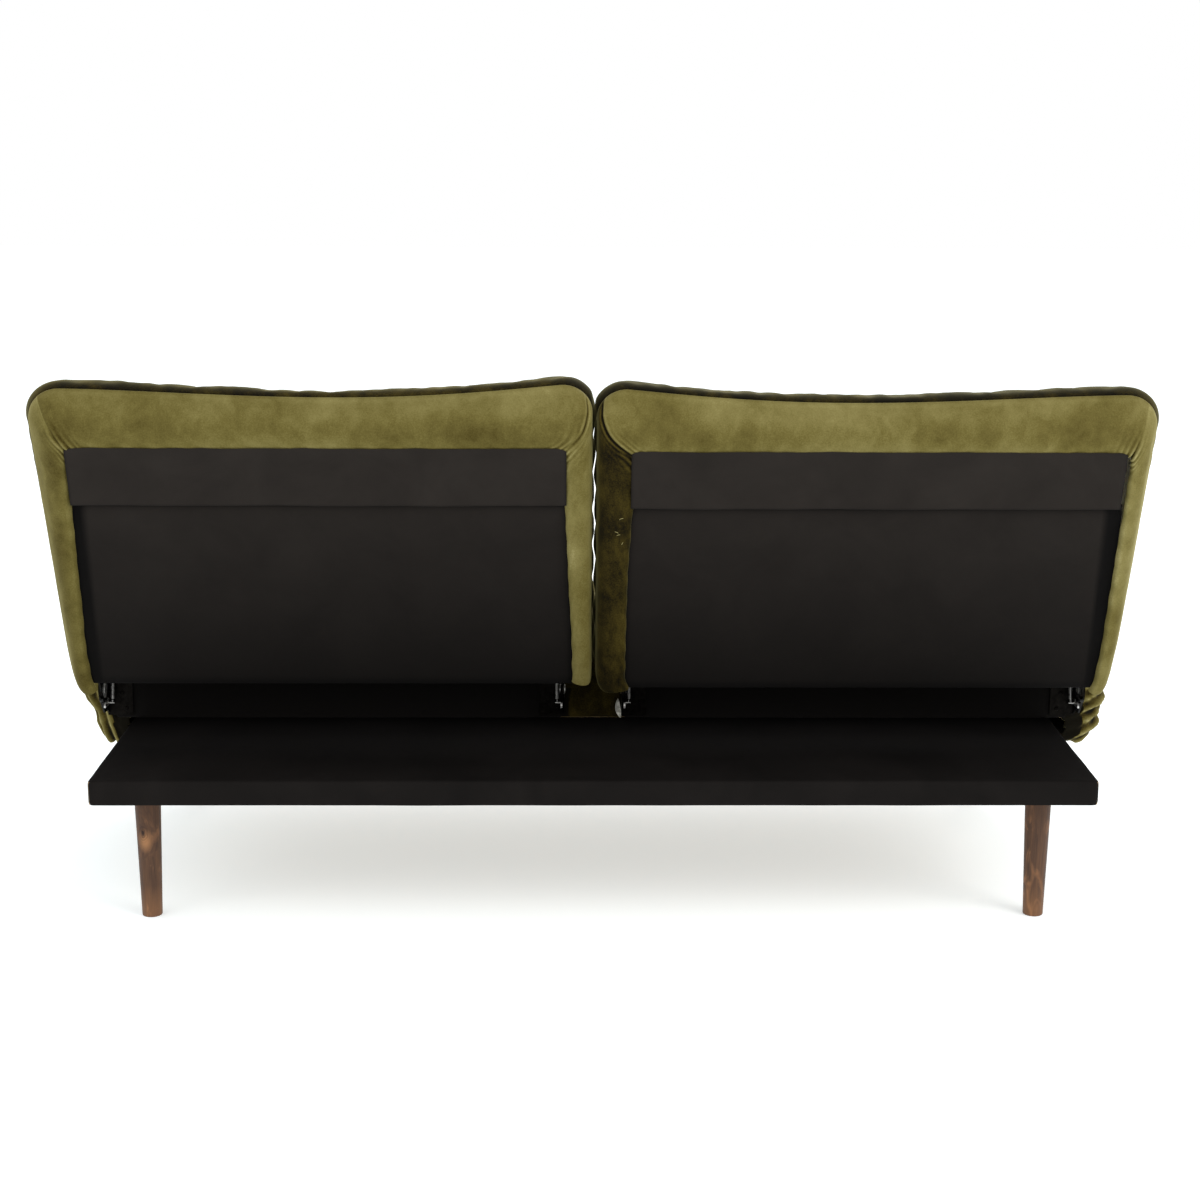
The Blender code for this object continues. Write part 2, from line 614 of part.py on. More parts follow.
def build_hinge(name, side, x, flange_towards, hinge, back, steel):
    """One ratchet hinge. x is the lower face of the back arm's plate, and the seat arm lies on the side away
    from the stile, which is flange_towards -1 for the inner hinge and 1 for the outer one."""
    away = flange_towards
    near, far = (x, x + PLATE) if away > 0 else (x + PLATE, x)
    seat_x = far + away * GAP * 1.3
    low_x = min(seat_x, seat_x + away * PLATE)

    def across(value):
        """Turns a distance from the middle of the sofa into x, for this hinge's side."""
        return side * value

    back_arm = add_plate(name + "_back_arm", [head_outline(), circle((0, 0), PIN_HOLE_RADIUS, 16)], PLATE, steel, back)
    turn_across(back_arm, min(across(x), across(x + PLATE)))

    holes = [seat_arm_outline(), circle((0, 0), PIN_HOLE_RADIUS, 16)]
    seat_arm = add_plate(name + "_seat_arm", holes, PLATE, steel, hinge)
    turn_across(seat_arm, min(across(low_x), across(low_x + PLATE)))
    outer_face = seat_x + away * PLATE
    flange = add_box(
        "flange",
        (across(outer_face), -0.0497, -0.060),
        (across(outer_face - away * 0.044), -0.0467, 0.016),
        steel,
        hinge,
    )
    combine(seat_arm, flange, "UNION")
    for centre, radius, reach in ((PAWL_PIVOT, PAWL_STUD_RADIUS, 0.0045), (SPRING_TOP, 0.0015, 0.0125)):
        start = across(seat_x + away * 0.001)
        stud = add_pin("stud", start, centre, ((0, radius), (-side * away * (reach + 0.001), radius)), steel, hinge, 12)
        combine(seat_arm, stud, "UNION")

    pawl_holes = [pawl_outline(), circle(PAWL_PIVOT, PAWL_HOLE_RADIUS, 12)]
    pawl = add_plate(name + "_pawl", pawl_holes, PLATE, steel, hinge)
    turn_across(pawl, min(across(x), across(x + PLATE)))
    peg = add_pin(
        "peg",
        across((near + far) / 2),
        SPRING_FOOT,
        ((0, 0.0012), (-side * away * 0.0110, 0.0012)),
        steel,
        hinge,
        8,
    )
    combine(pawl, peg, "UNION")

    start = across(near - away * GAP)
    reach = 2 * PLATE + GAP * 3.3
    steps = (
        (-side * away * 0.0025, 0.0080),
        (0.0, 0.0080),
        (0.0, PIN_RADIUS),
        (side * away * reach, PIN_RADIUS),
        (side * away * reach, 0.0080),
        (side * away * (reach + 0.0025), 0.0080),
    )
    add_pin(name + "_pin", start, (0, 0), steps, steel, hinge)

    spring_x = across(near - away * 0.0062)
    top, foot = Vector(SPRING_TOP), Vector(SPRING_FOOT)
    run = (top - foot).normalized()
    aside = Vector((-run.y, run.x))
    rings = []
    for end in (foot + run * 0.0030, top - run * 0.0030):
        turn = [(SPRING_RADIUS * c, SPRING_RADIUS * s) for c, s in circle((0, 0), 1.0, 10)]
        rings.append([(spring_x + a, (end + aside * b).x, (end + aside * b).y) for a, b in turn])
    add_skin(name + "_spring", rings, steel, hinge)


# ---------------------------------------------------------------- the whole
def make_empty(name, rotation=0.0):
    empty = bpy.data.objects.new(name, None)
    bpy.context.scene.collection.objects.link(empty)
    empty.location = (0, PIVOT_Y, PIVOT_Z)
    empty.rotation_euler = (rotation, 0, 0)
    return empty


def main():
    clear_scene()
    velvet = make_material("olive_velvet", (0.175, 0.155, 0.045), 0.75)
    black_cloth = make_material("black_lining", (0.020, 0.019, 0.018), 0.90)
    stained_wood = make_material("stained_wood", (0.110, 0.050, 0.028), 0.50)
    timber = make_material("pine_timber", (0.560, 0.400, 0.240), 0.70)
    board = make_material("fibre_board", (0.330, 0.210, 0.120), 0.80)
    foam = make_material("seat_foam", (0.780, 0.740, 0.560), 0.90)
    webbing = make_material("elastic_webbing", (0.200, 0.190, 0.180), 0.85)
    steel = make_material("zinc_plated_steel", (0.620, 0.610, 0.580), 0.30, 1.0)

    rails = build_base(timber, black_cloth, board)
    build_legs(rails, stained_wood)
    build_seat_frame(timber)
    build_seat_webbing(webbing)
    build_seat_cushion(velvet, foam, black_cloth)
    fixed_side = make_empty("hinge_axis")
    for back_name, side in (("back_left", -1), ("back_right", 1)):
        pivot = make_empty(back_name + "_pivot", -RECLINE)
        build_back_frame(back_name, side, pivot, timber, webbing)
        build_back_cushion(back_name, side, pivot, velvet, foam)
        build_back_lining(back_name, side, pivot, black_cloth)
        for place, x, away in zip(("inner", "outer"), hinge_planes(), (-1, 1)):
            hinge_name = f"{back_name}_{place}_hinge"
            build_hinge(hinge_name, side, x, away, fixed_side, pivot, steel)


main()
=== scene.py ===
"""The looks of the split-back sofa bed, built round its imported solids.

Metres, +Z up, the sofa faces -Y. Each section holds one piece, or a group of like pieces, in the order in
which a real one goes together.
"""

import json
import math

import bpy
import numpy as np
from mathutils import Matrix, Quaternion, Vector, noise


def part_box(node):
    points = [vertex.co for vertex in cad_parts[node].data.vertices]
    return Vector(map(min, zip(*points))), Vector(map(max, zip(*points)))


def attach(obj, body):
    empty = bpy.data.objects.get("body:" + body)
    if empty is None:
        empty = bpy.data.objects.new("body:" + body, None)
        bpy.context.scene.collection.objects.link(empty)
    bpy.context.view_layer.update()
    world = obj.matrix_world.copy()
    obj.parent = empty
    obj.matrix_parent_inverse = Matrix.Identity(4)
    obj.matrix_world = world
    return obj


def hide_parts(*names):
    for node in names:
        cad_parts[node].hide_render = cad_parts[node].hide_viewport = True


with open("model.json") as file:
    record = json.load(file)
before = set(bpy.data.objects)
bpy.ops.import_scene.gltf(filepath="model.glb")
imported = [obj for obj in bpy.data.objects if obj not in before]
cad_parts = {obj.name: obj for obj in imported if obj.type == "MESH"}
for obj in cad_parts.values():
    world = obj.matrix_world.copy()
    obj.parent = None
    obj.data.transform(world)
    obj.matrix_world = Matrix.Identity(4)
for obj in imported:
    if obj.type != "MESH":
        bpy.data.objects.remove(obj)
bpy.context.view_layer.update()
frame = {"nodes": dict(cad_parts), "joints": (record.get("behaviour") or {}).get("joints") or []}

# ------------------------------------------------------------ studio
# A white room with a pale floor, a large softbox high on the -X side behind the sofa, a weaker one across
# from it, and one in front. The camera stands behind the sofa, just above its top, and looks slightly down.
LENS = 63.9
CAMERA_PLACE = Vector((0.034, 3.693, 1.266))
CAMERA_TURN = math.radians(0.73)
CAMERA_TILT = math.radians(12.44)
CAMERA_ROLL = math.radians(0.215)

scene = bpy.context.scene
scene.view_settings.view_transform = "Standard"
level = math.cos(CAMERA_TILT)
aim = Vector((-math.sin(CAMERA_TURN) * level, -math.cos(CAMERA_TURN) * level, -math.sin(CAMERA_TILT)))
turned = aim.to_track_quat("-Z", "Y") @ Quaternion((0, 0, 1), CAMERA_ROLL)
bpy.ops.object.camera_add(location=CAMERA_PLACE, rotation=turned.to_euler())
camera = bpy.context.object
camera.data.lens = LENS
scene.camera = camera

scene.world = bpy.data.worlds.new("white_room")
scene.world.use_nodes = True
room_light = scene.world.node_tree.nodes["Background"]
room_light.inputs["Color"].default_value = (1.0, 1.0, 1.0, 1.0)
room_light.inputs["Strength"].default_value = 1.0

SOFTBOXES_AIM = Vector((0.0, 0.0, 0.45))
SOFTBOXES = [  # name, place, size, power
    ("key", (-3.6, 3.0, 3.2), 2.6, 95.0),
    ("fill", (3.6, 3.2, 2.2), 2.4, 22.0),
    ("front", (-1.0, -4.2, 3.0), 3.0, 90.0),
]
for light_name, place, size, power in SOFTBOXES:
    facing = (SOFTBOXES_AIM - Vector(place)).to_track_quat("-Z", "Y")
    bpy.ops.object.light_add(type="AREA", location=place, rotation=facing.to_euler())
    softbox = bpy.context.object
    softbox.name = light_name
    softbox.data.size = size
    softbox.data.energy = power
    softbox.visible_camera = False


class Amount:
    """A number in a material, held as the socket that gives it, so that sums of noises read as sums."""

    def __init__(self, finish, socket):
        self.finish = finish
        self.socket = socket

    def worked_out(self, operation, left, right):
        return self.finish.node("Math", {"operation": operation}, {0: left, 1: right})

    def __add__(self, other):
        return self.worked_out("ADD", self, other)

    def __sub__(self, other):
        return self.worked_out("SUBTRACT", self, other)

    def __rsub__(self, other):
        return self.worked_out("SUBTRACT", other, self)

    def __mul__(self, other):
        return self.worked_out("MULTIPLY", self, other)

    __radd__ = __add__
    __rmul__ = __mul__


class Finish:
    """A material being made: its shader, with fixed values set on it, and nodes that vary over a piece."""

    def __init__(self, name, **fixed):
        self.material = bpy.data.materials.new(name)
        self.material.use_nodes = True
        self.tree = self.material.node_tree
        self.shader = self.tree.nodes["Principled BSDF"]
        for words, value in fixed.items():
            self.shader.inputs[words.replace("_", " ").title().replace("Ior", "IOR")].default_value = value

    def feed(self, socket, value):
        if isinstance(value, Amount):
            self.tree.links.new(value.socket, socket)
        elif socket.type == "RGBA":
            socket.default_value = (*value, 1.0)
        else:
            socket.default_value = value

    def node(self, kind, settings, inputs, output=0):
        made = self.tree.nodes.new("ShaderNode" + kind)
        for word, value in settings.items():
            if word == "stops":
                ramp = made.color_ramp.elements
                for place, colour in value[1:-1]:
                    ramp.new(place).color = (*colour, 1.0)
                for end, (place, colour) in ((ramp[0], value[0]), (ramp[len(ramp) - 1], value[-1])):
                    end.position, end.color = place, (*colour, 1.0)
            else:
                setattr(made, word, value)
        for socket, value in inputs.items():
            self.feed(made.inputs[socket], value)
        return Amount(self, made.outputs[output])

    def place(self, stretch=(1.0, 1.0, 1.0), turn=(0.0, 0.0, 0.0), centre=(0.0, 0.0, 0.0)):
        """Where a point is on the piece, in metres, moved and stretched."""
        where = self.node("TexCoord", {}, {}, "Object")
        shift = [-at * by for at, by in zip(centre, stretch)]
        values = {"Vector": where, "Location": shift, "Rotation": turn, "Scale": stretch}
        return self.node("Mapping", {}, values)

    def distance(self, centre, stretch):
        """How far a point is from a centre, with each axis stretched."""
        away = self.place(stretch, centre=centre)
        return self.node("VectorMath", {"operation": "LENGTH"}, {0: away}, "Value")

    def marked(self, word):
        """What the piece's own attribute says at a point."""
        return self.node("Attribute", {"attribute_name": word}, {}, "Fac")

    def bands(self, direction, **values):
        return self.node("TexWave", {"wave_type": "BANDS", "bands_direction": direction}, values)

    def noise(self, where, scale, detail=3.0, roughness=0.5, distortion=0.0):
        values = {"Vector": where, "Scale": scale, "Detail": detail, "Roughness": roughness,
                  "Distortion": distortion}
        return self.node("TexNoise", {}, values)

    def mapped(self, amount, low, high, to_low=0.0, to_high=1.0):
        values = {"Value": amount, "From Min": low, "From Max": high, "To Min": to_low, "To Max": to_high}
        return self.node("MapRange", {"clamp": True}, values)

    def colours(self, share, first, second):
        """first where share is 0 and second where it is 1."""
        return self.node("Mix", {"data_type": "RGBA"}, {0: share, 6: first, 7: second}, 2)

    def bump(self, height, strength, distance):
        normal = self.node("Bump", {}, {"Height": height, "Strength": strength, "Distance": distance})
        self.feed(self.shader.inputs["Normal"], normal)

    def paint(self, colour, roughness=None):
        self.feed(self.shader.inputs["Base Color"], colour)
        if roughness is not None:
            self.feed(self.shader.inputs["Roughness"], roughness)
        return self.material


floor_finish = Finish("pale_floor", roughness=1.0, specular_ior_level=0.0, emission_strength=0.42)
floor_finish.shader.inputs["Emission Color"].default_value = (0.80, 0.94, 1.0, 1.0)
floor_tone = floor_finish.noise(floor_finish.place(), 0.6)
floor_colour = floor_finish.colours(floor_tone, (0.86, 0.865, 0.86), (0.88, 0.88, 0.875))
pale_floor = floor_finish.paint(floor_colour)
bpy.ops.mesh.primitive_plane_add(size=40.0, location=(0.0, 0.0, 0.0))
floor = bpy.context.object
floor.name = "floor"
floor.data.materials.append(pale_floor)

# ------------------------------------------------------------ base
# The base is a pine frame under a thin board, wrapped in one sheet of black cloth that is pulled tight over
# the edges, folded at the four corners and stapled underneath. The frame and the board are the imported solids.
BASE_LOW, BASE_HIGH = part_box("base_cover")
WRAP_THICK = 0.0016
WRAP_LIP = 0.025  # how far the cloth is turned under
WRAP_CORNER = 0.0075
FOLD_REACH = 0.030
FOLD_STEP = 0.0011  # one more layer of cloth where the corners are folded


def limited(values):
    return np.clip(values, 0, 1)


def bunched(count, bunch):
    """Shares from 0 to 1 that lie closer together at both ends."""
    even = np.linspace(0.0, 1.0, count + 1)
    return even - bunch * np.sin(2 * math.pi * even) / (2 * math.pi)


def corner_arc(centre, radius, start_deg, count=12):
    angles = np.radians(start_deg + np.linspace(0.0, 90.0, count))
    return np.column_stack([centre[0] + radius * np.cos(angles), centre[1] + radius * np.sin(angles)])


def four_sides(corners, between, across, along, bunch):
    """Points round an outline of four rounded corners, from the middle of the first one on. Each run between
    two corners has a fixed count, across or along, so that outlines of any size join point to point."""
    line, middles = [], []
    for arc, edge in zip(corners, between):
        middles.append(sum(len(part) for part in line) + len(arc) // 2)
        line += [arc, edge]
    points = np.concatenate(line + [corners[0]])
    middles.append(len(points) - len(corners[0]) + len(corners[0]) // 2)
    steps = np.linalg.norm(np.diff(points, axis=0), axis=1)
    travelled = np.concatenate([[0.0], np.cumsum(steps)])
    ring = []
    for start, end, count in zip(middles, middles[1:], (across, along, across, along)):
        wanted = travelled[start] + (travelled[end] - travelled[start]) * bunched(count, bunch)[:-1]
        ring.append(np.column_stack([np.interp(wanted, travelled, points[:, k]) for k in (0, 1)]))
    return np.concatenate(ring)


def rounded_box_ring(low, high, radius, across, along, bunch):
    """Plan outline of a rounded rectangle: along its front, then its +X side, its rear and its -X side."""
    nothing = np.empty((0, 2))
    centres = [(low[0] + radius, low[1] + radius), (high[0] - radius, low[1] + radius),
               (high[0] - radius, high[1] - radius), (low[0] + radius, high[1] - radius)]
    arcs = [corner_arc(centre, radius, 180 + 90 * k) for k, centre in enumerate(centres)]
    return four_sides(arcs, [nothing] * 4, across, along, bunch)


def patch_inside(ring, across, along):
    """Points that fill a ring: a grid that takes its shape from the ring's four runs."""
    near = ring[:across + 1]
    right = ring[across:across + along + 1]
    far = ring[across + along:2 * across + along + 1][::-1]
    left = np.concatenate([ring[2 * across + along:], ring[:1]])[::-1]
    s = np.linspace(0.0, 1.0, across + 1)[None, :, None]
    t = np.linspace(0.0, 1.0, along + 1)[:, None, None]
    sides = (1 - t) * near[None] + t * far[None] + (1 - s) * left[:, None] + s * right[:, None]
    ends = ((1 - s) * (1 - t) * near[0] + s * (1 - t) * near[-1] + (1 - s) * t * far[0] + s * t * far[-1])
    return sides - ends


def ring_places(across, along):
    """(row, column) of each point of a ring in the grid that fills it."""
    return ([(0, i) for i in range(across)] + [(j, across) for j in range(along)]
            + [(along, across - i) for i in range(across)] + [(along - j, 0) for j in range(along)])


def new_piece(name, points, faces):
    mesh = bpy.data.meshes.new(name)
    mesh.from_pydata([tuple(map(float, point)) for point in points], [], faces)
    piece = bpy.data.objects.new(name, mesh)
    scene.collection.objects.link(piece)
    return piece


def loft(name, rings, grid, across, along, skip=None):
    """A mesh through rings of equal counts, closed by the grid that fills the last one. skip names the faces
    that are left out, by their middle."""
    count = len(rings[0])
    points = [point for ring in rings for point in ring]
    faces = []
    for level in range(len(rings) - 1):
        below, above = level * count, (level + 1) * count
        for i in range(count):
            j = (i + 1) % count
            faces.append((below + i, below + j, above + j, above + i))
    last = (len(rings) - 1) * count
    index = {place: last + k for k, place in enumerate(ring_places(across, along))}
    for j in range(1, along):
        for i in range(1, across):
            index[(j, i)] = len(points)
            points.append(grid[j, i])
    for j in range(along):
        for i in range(across):
            faces.append((index[(j, i)], index[(j, i + 1)], index[(j + 1, i + 1)], index[(j + 1, i)]))
    if skip is not None:
        faces = [face for face in faces if not skip(Vector(np.mean([points[k] for k in face], axis=0)))]
    return new_piece(name, points, faces)


def ripple(points, scale, shift=0.0):
    """Smooth noise from -1 to 1 at each point of a list or a grid, with waves about 1/scale metres long."""
    offset = Vector((shift, 2.3 * shift, 3.1 * shift))
    waves = [noise.noise(Vector(point) * scale + offset) for point in points.reshape(-1, 3)]
    return np.reshape(waves, points.shape[:-1])


def pick(piece):
    """Selects this piece and nothing else."""
    bpy.ops.object.select_all(action="DESELECT")
    piece.select_set(True)
    bpy.context.view_layer.objects.active = piece


def edit_all(piece, operation, **values):
    """Does one thing to the whole mesh of a piece."""
    pick(piece)
    bpy.ops.object.mode_set(mode="EDIT")
    bpy.ops.mesh.select_all(action="SELECT")
    operation(**values)
    bpy.ops.object.mode_set(mode="OBJECT")


def points_of(piece):
    flat = np.empty(3 * len(piece.data.vertices))
    piece.data.vertices.foreach_get("co", flat)
    return flat.reshape(-1, 3)


def normals_of(piece):
    flat = np.empty(3 * len(piece.data.vertices))
    piece.data.vertex_normals.foreach_get("vector", flat)
    return flat.reshape(-1, 3)


def move_points(piece, points):
    piece.data.vertices.foreach_set("co", np.asarray(points, float).ravel())
    piece.data.update()


def mark(piece, word, values):
    attribute = piece.data.attributes.get(word) or piece.data.attributes.new(word, "FLOAT", "POINT")
    attribute.data.foreach_set("value", np.asarray(values, np.float32))


def make_cloth_of(piece, material, thickness, smoothing=1):
    """Gives a surface its thickness, inwards, then rounds it, and shades it smooth."""
    piece.data.materials.append(material)
    piece.data.shade_smooth()
    if thickness:
        wall = piece.modifiers.new("thickness", "SOLIDIFY")
        wall.thickness = thickness
        wall.offset = -1.0
    if smoothing:
        smooth = piece.modifiers.new("smooth", "SUBSURF")
        smooth.levels = smoothing
        smooth.render_levels = smoothing


lining = Finish("black_lining", specular_ior_level=0.06, sheen_weight=0.06, sheen_roughness=0.6)
lining.shader.inputs["Sheen Tint"].default_value = (0.55, 0.52, 0.50, 1.0)
where = lining.place()
cloud = lining.noise(where, 9.0, 4.0, 0.6, 0.4)
fibre = lining.noise(where, 900.0, 2.0)
lighter = lining.mapped(cloud, 0.30, 0.72) * 0.75 + fibre * 0.25
cloth_colour = lining.colours(lighter, (0.0145, 0.0117, 0.0098), (0.0247, 0.0205, 0.0175))
cloth_colour = lining.colours(lining.marked("shade"), cloth_colour, (0.0012, 0.0010, 0.0009))
lining.bump(fibre * 0.6 + lining.noise(where, 60.0, 3.0) * 1.5, 0.35, 0.0006)
black_lining = lining.paint(cloth_colour, lining.mapped(cloud, 0.3, 0.7, 0.82, 0.95))

wrap = Finish("black_wrap", specular_ior_level=0.03)
where = wrap.place()
warp, weft = [wrap.bands(way, Vector=where, Scale=260.0, Distortion=0.4, Detail=1.0) for way in ("X", "Y")]
cloud = wrap.noise(where, 5.0, 4.0, 0.6, 0.6)
wrap.bump(warp * 0.5 + weft * 0.5 + wrap.noise(where, 30.0, 3.0) * 0.7, 0.3, 0.0004)
lighter = wrap.mapped(cloud, 0.35, 0.7)
wrap_colour = wrap.colours(lighter, (0.0085, 0.0074, 0.0068), (0.0140, 0.0120, 0.0110))
wrap_colour = wrap.colours(wrap.marked("shade"), wrap_colour, (0.0010, 0.0010, 0.0011))
black_wrap = wrap.paint(wrap_colour, wrap.mapped(cloud, 0.3, 0.7, 0.70, 0.88))

WRAP_ACROSS, WRAP_ALONG = 104, 58
WRAP_ROWS = [  # (distance in from the outside, height)
    (WRAP_LIP, BASE_LOW.z + 0.0004), (0.0120, BASE_LOW.z + 0.0002), (0.0050, BASE_LOW.z + 0.0002),
    (0.0022, BASE_LOW.z + 0.0007), (0.0004, BASE_LOW.z + 0.0030), (0.0, BASE_LOW.z + 0.0070),
    (0.0, BASE_LOW.z + 0.0150), (0.0, BASE_LOW.z + 0.0230), (0.0, BASE_HIGH.z - 0.0120),
    (0.0, BASE_HIGH.z - 0.0065), (0.0005, BASE_HIGH.z - 0.0028), (0.0024, BASE_HIGH.z - 0.0006),
    (0.0060, BASE_HIGH.z), (0.014, BASE_HIGH.z), (0.035, BASE_HIGH.z - 0.0003), (0.080, BASE_HIGH.z - 0.0004),
]
wrap_rings = []
for inset, height in WRAP_ROWS:
    near = (BASE_LOW.x + inset, BASE_LOW.y + inset)
    far = (BASE_HIGH.x - inset, BASE_HIGH.y - inset)
    radius = max(WRAP_CORNER - inset, 0.2 * WRAP_CORNER)
    plan = rounded_box_ring(near, far, radius, WRAP_ACROSS, WRAP_ALONG, 0.72)
    wrap_rings.append(np.column_stack([plan, np.full(len(plan), height)]))
wrap_grid = patch_inside(wrap_rings[-1], WRAP_ACROSS, WRAP_ALONG)
base_wrap = loft("base_wrap", wrap_rings, wrap_grid, WRAP_ACROSS, WRAP_ALONG)
edit_all(base_wrap, bpy.ops.mesh.normals_make_consistent, inside=False)
points, normals = points_of(base_wrap), normals_of(base_wrap)
on_edge = limited(1.0 - np.abs(points[:, 2] - BASE_HIGH.z) / 0.02)
lift = 0.00055 * ripple(points * (1.0, 1.0, 0.3), 9.0, 4.0) + 0.0004 * on_edge * ripple(points, 30.0, 9.0)
height_share = (points[:, 2] - BASE_LOW.z) / (BASE_HIGH.z - BASE_LOW.z)
from_end = np.minimum(points[:, 0] - BASE_LOW.x, BASE_HIGH.x - points[:, 0])
facing = (np.abs(normals[:, 1]) > 0.6) & (from_end > 0.004)
folded = facing & (from_end < FOLD_REACH * (0.35 + 0.65 * height_share))
move_points(base_wrap, points + normals * (lift + FOLD_STEP * folded)[:, None])
towards_seat = limited((BASE_HIGH.y - points[:, 1]) / 0.36)
mark(base_wrap, "shade", np.where(normals[:, 2] > 0.7, 0.26 + 0.52 * towards_seat, 0.16))
make_cloth_of(base_wrap, black_wrap, WRAP_THICK)
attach(base_wrap, "base")
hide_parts("base_cover")

timber = Finish("pine_timber", specular_ior_level=0.35)
grain = timber.noise(timber.place((1.2, 1.2, 9.0)), 22.0, 6.0, 0.6, 1.4)
streak = timber.noise(timber.place((1.0, 14.0, 14.0)), 16.0, 5.0, 0.65, 0.8)
lighter = timber.mapped(streak * 0.6 + grain * 0.4, 0.32, 0.68)
pine = timber.colours(lighter, (0.42, 0.27, 0.13), (0.64, 0.47, 0.28))
timber.bump(streak, 0.25, 0.0006)
pine_timber = timber.paint(pine, timber.mapped(streak, 0.3, 0.7, 0.62, 0.82))

board = Finish("fibre_board", specular_ior_level=0.3)
flecks = board.noise(board.place(), 420.0, 4.0, 0.7)
board.bump(flecks, 0.3, 0.0003)
board_colour = board.colours(board.mapped(flecks, 0.35, 0.65), (0.22, 0.13, 0.07), (0.40, 0.27, 0.16))
fibre_board = board.paint(board_colour, 0.85)


def dress(node, material):
    """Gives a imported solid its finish."""
    solid = frame["nodes"][node]
    solid.data.materials.clear()
    solid.data.materials.append(material)


for rail in ("front", "rear", "left", "right"):
    dress("base_rail_" + rail, pine_timber)
dress("base_deck", fibre_board)

# ------------------------------------------------------------ legs
# Four turned pine legs, tapered and stained brown. Each has a zinc-plated stud in its top that screws into
# the base frame. The stain lies unevenly over the soft grain, and one leg has a knot on its rear side.
LEG_NODES = ("leg_front_left", "leg_front_right", "leg_rear_left", "leg_rear_right")
LEG_TOP_RADIUS = 0.0216
LEG_FOOT_RADIUS = 0.0164
LEG_TOP_BEVEL = 0.0010
STUD_RADIUS = 0.004
LEG_TOP = BASE_LOW.z - 0.0003
KNOT = (0.734, 0.3845, 0.146)

stain = Finish("stained_wood", specular_ior_level=0.22)
from_knot = stain.distance(KNOT, (1.0, 0.45, 0.62)) + stain.noise(stain.place(), 120.0, 2.0) * 0.006 - 0.003
pull = stain.mapped(from_knot, 0.0, 0.030, 1.0, 0.0)
aside = stain.node("CombineXYZ", {}, {"X": pull * pull * 0.035, "Y": pull * 0.01, "Z": pull * 0.02})
along = stain.node("VectorMath", {"operation": "ADD"}, {0: stain.place((1.0, 1.0, 0.055)), 1: aside})
grain = stain.noise(along, 170.0, 5.0, 0.62, 0.5)
fine = stain.noise(stain.place((1.0, 1.0, 0.03)), 620.0, 3.0, 0.6)
patches = stain.noise(stain.place((1.0, 1.0, 0.42), centre=(0.3, 0.1, 0.4)), 46.0, 3.0, 0.55, 0.8)
STAIN_STOPS = [(0.25, (0.034, 0.017, 0.0105)), (0.50, (0.080, 0.040, 0.022)), (0.78, (0.150, 0.072, 0.034))]
body_tone = stain.node("ValToRGB", {"stops": STAIN_STOPS}, {"Fac": grain * 0.72 + fine * 0.28}, "Color")
height = stain.node("SeparateXYZ", {}, {0: stain.place()}, "Z")
tan = stain.mapped(patches, 0.56, 0.72) * 0.7 + stain.mapped(height, 0.055, 0.015) * 0.35
body_tone = stain.colours(tan, body_tone, (0.290, 0.135, 0.058))
under_knot = stain.distance((KNOT[0] - 0.003, KNOT[1], KNOT[2] - 0.013), (1.2, 0.5, 0.75))
glow = stain.mapped(under_knot, 0.004, 0.017, 0.8, 0.0)
body_tone = stain.colours(glow, body_tone, (0.370, 0.180, 0.076))
rings = stain.node("Math", {"operation": "SINE"}, {0: from_knot * 1900.0})
in_rings = stain.mapped(from_knot, 0.005, 0.012, 0.55, 0.0) * (rings * 0.5 + 0.5)
body_tone = stain.colours(in_rings, body_tone, (0.030, 0.012, 0.008))
in_knot = stain.mapped(from_knot, 0.0016, 0.0042, 0.92, 0.0)
body_tone = stain.colours(in_knot, body_tone, (0.016, 0.007, 0.005))
stain.bump(grain * 0.7 + fine * 0.3, 0.22, 0.0005)
stained_wood = stain.paint(body_tone, stain.mapped(grain, 0.3, 0.7, 0.42, 0.62))

plating = Finish("bright_zinc", metallic=1.0)
spangle = plating.noise(plating.place(), 260.0, 3.0, 0.6, 0.3)
lighter = plating.mapped(spangle, 0.3, 0.7)
zinc_tone = plating.colours(lighter, (0.40, 0.39, 0.37), (0.66, 0.65, 0.62))
plating.bump(spangle, 0.12, 0.0002)
bright_zinc = plating.paint(zinc_tone, plating.mapped(spangle, 0.3, 0.7, 0.24, 0.42))


def select_faces(wanted):
    """In edit mode: selects the faces whose centre passes the test, and nothing else."""
    bpy.ops.mesh.select_all(action="DESELECT")
    bpy.ops.object.mode_set(mode="OBJECT")
    for face in bpy.context.object.data.polygons:
        face.select = wanted(face.center, face.normal)
    bpy.ops.object.mode_set(mode="EDIT")


def start_piece(name, add, **sizes):
    """Adds a primitive with nothing else selected, and goes into edit mode."""
    bpy.ops.object.select_all(action="DESELECT")
    add(**sizes)
    bpy.context.object.name = name
    bpy.context.object.data.name = name
    bpy.ops.object.mode_set(mode="EDIT")
    bpy.ops.mesh.select_mode(type="FACE")
    return bpy.context.object


def end_piece(materials, smooth_deg=35.0):
    """Leaves edit mode with the piece's place in its mesh and its round faces smooth."""
    bpy.ops.object.mode_set(mode="OBJECT")
    piece = bpy.context.object
    bpy.ops.object.transform_apply(location=True, rotation=True, scale=True)
    bpy.ops.object.shade_smooth_by_angle(angle=math.radians(smooth_deg))
    for material in materials:
        piece.data.materials.append(material)
    return piece


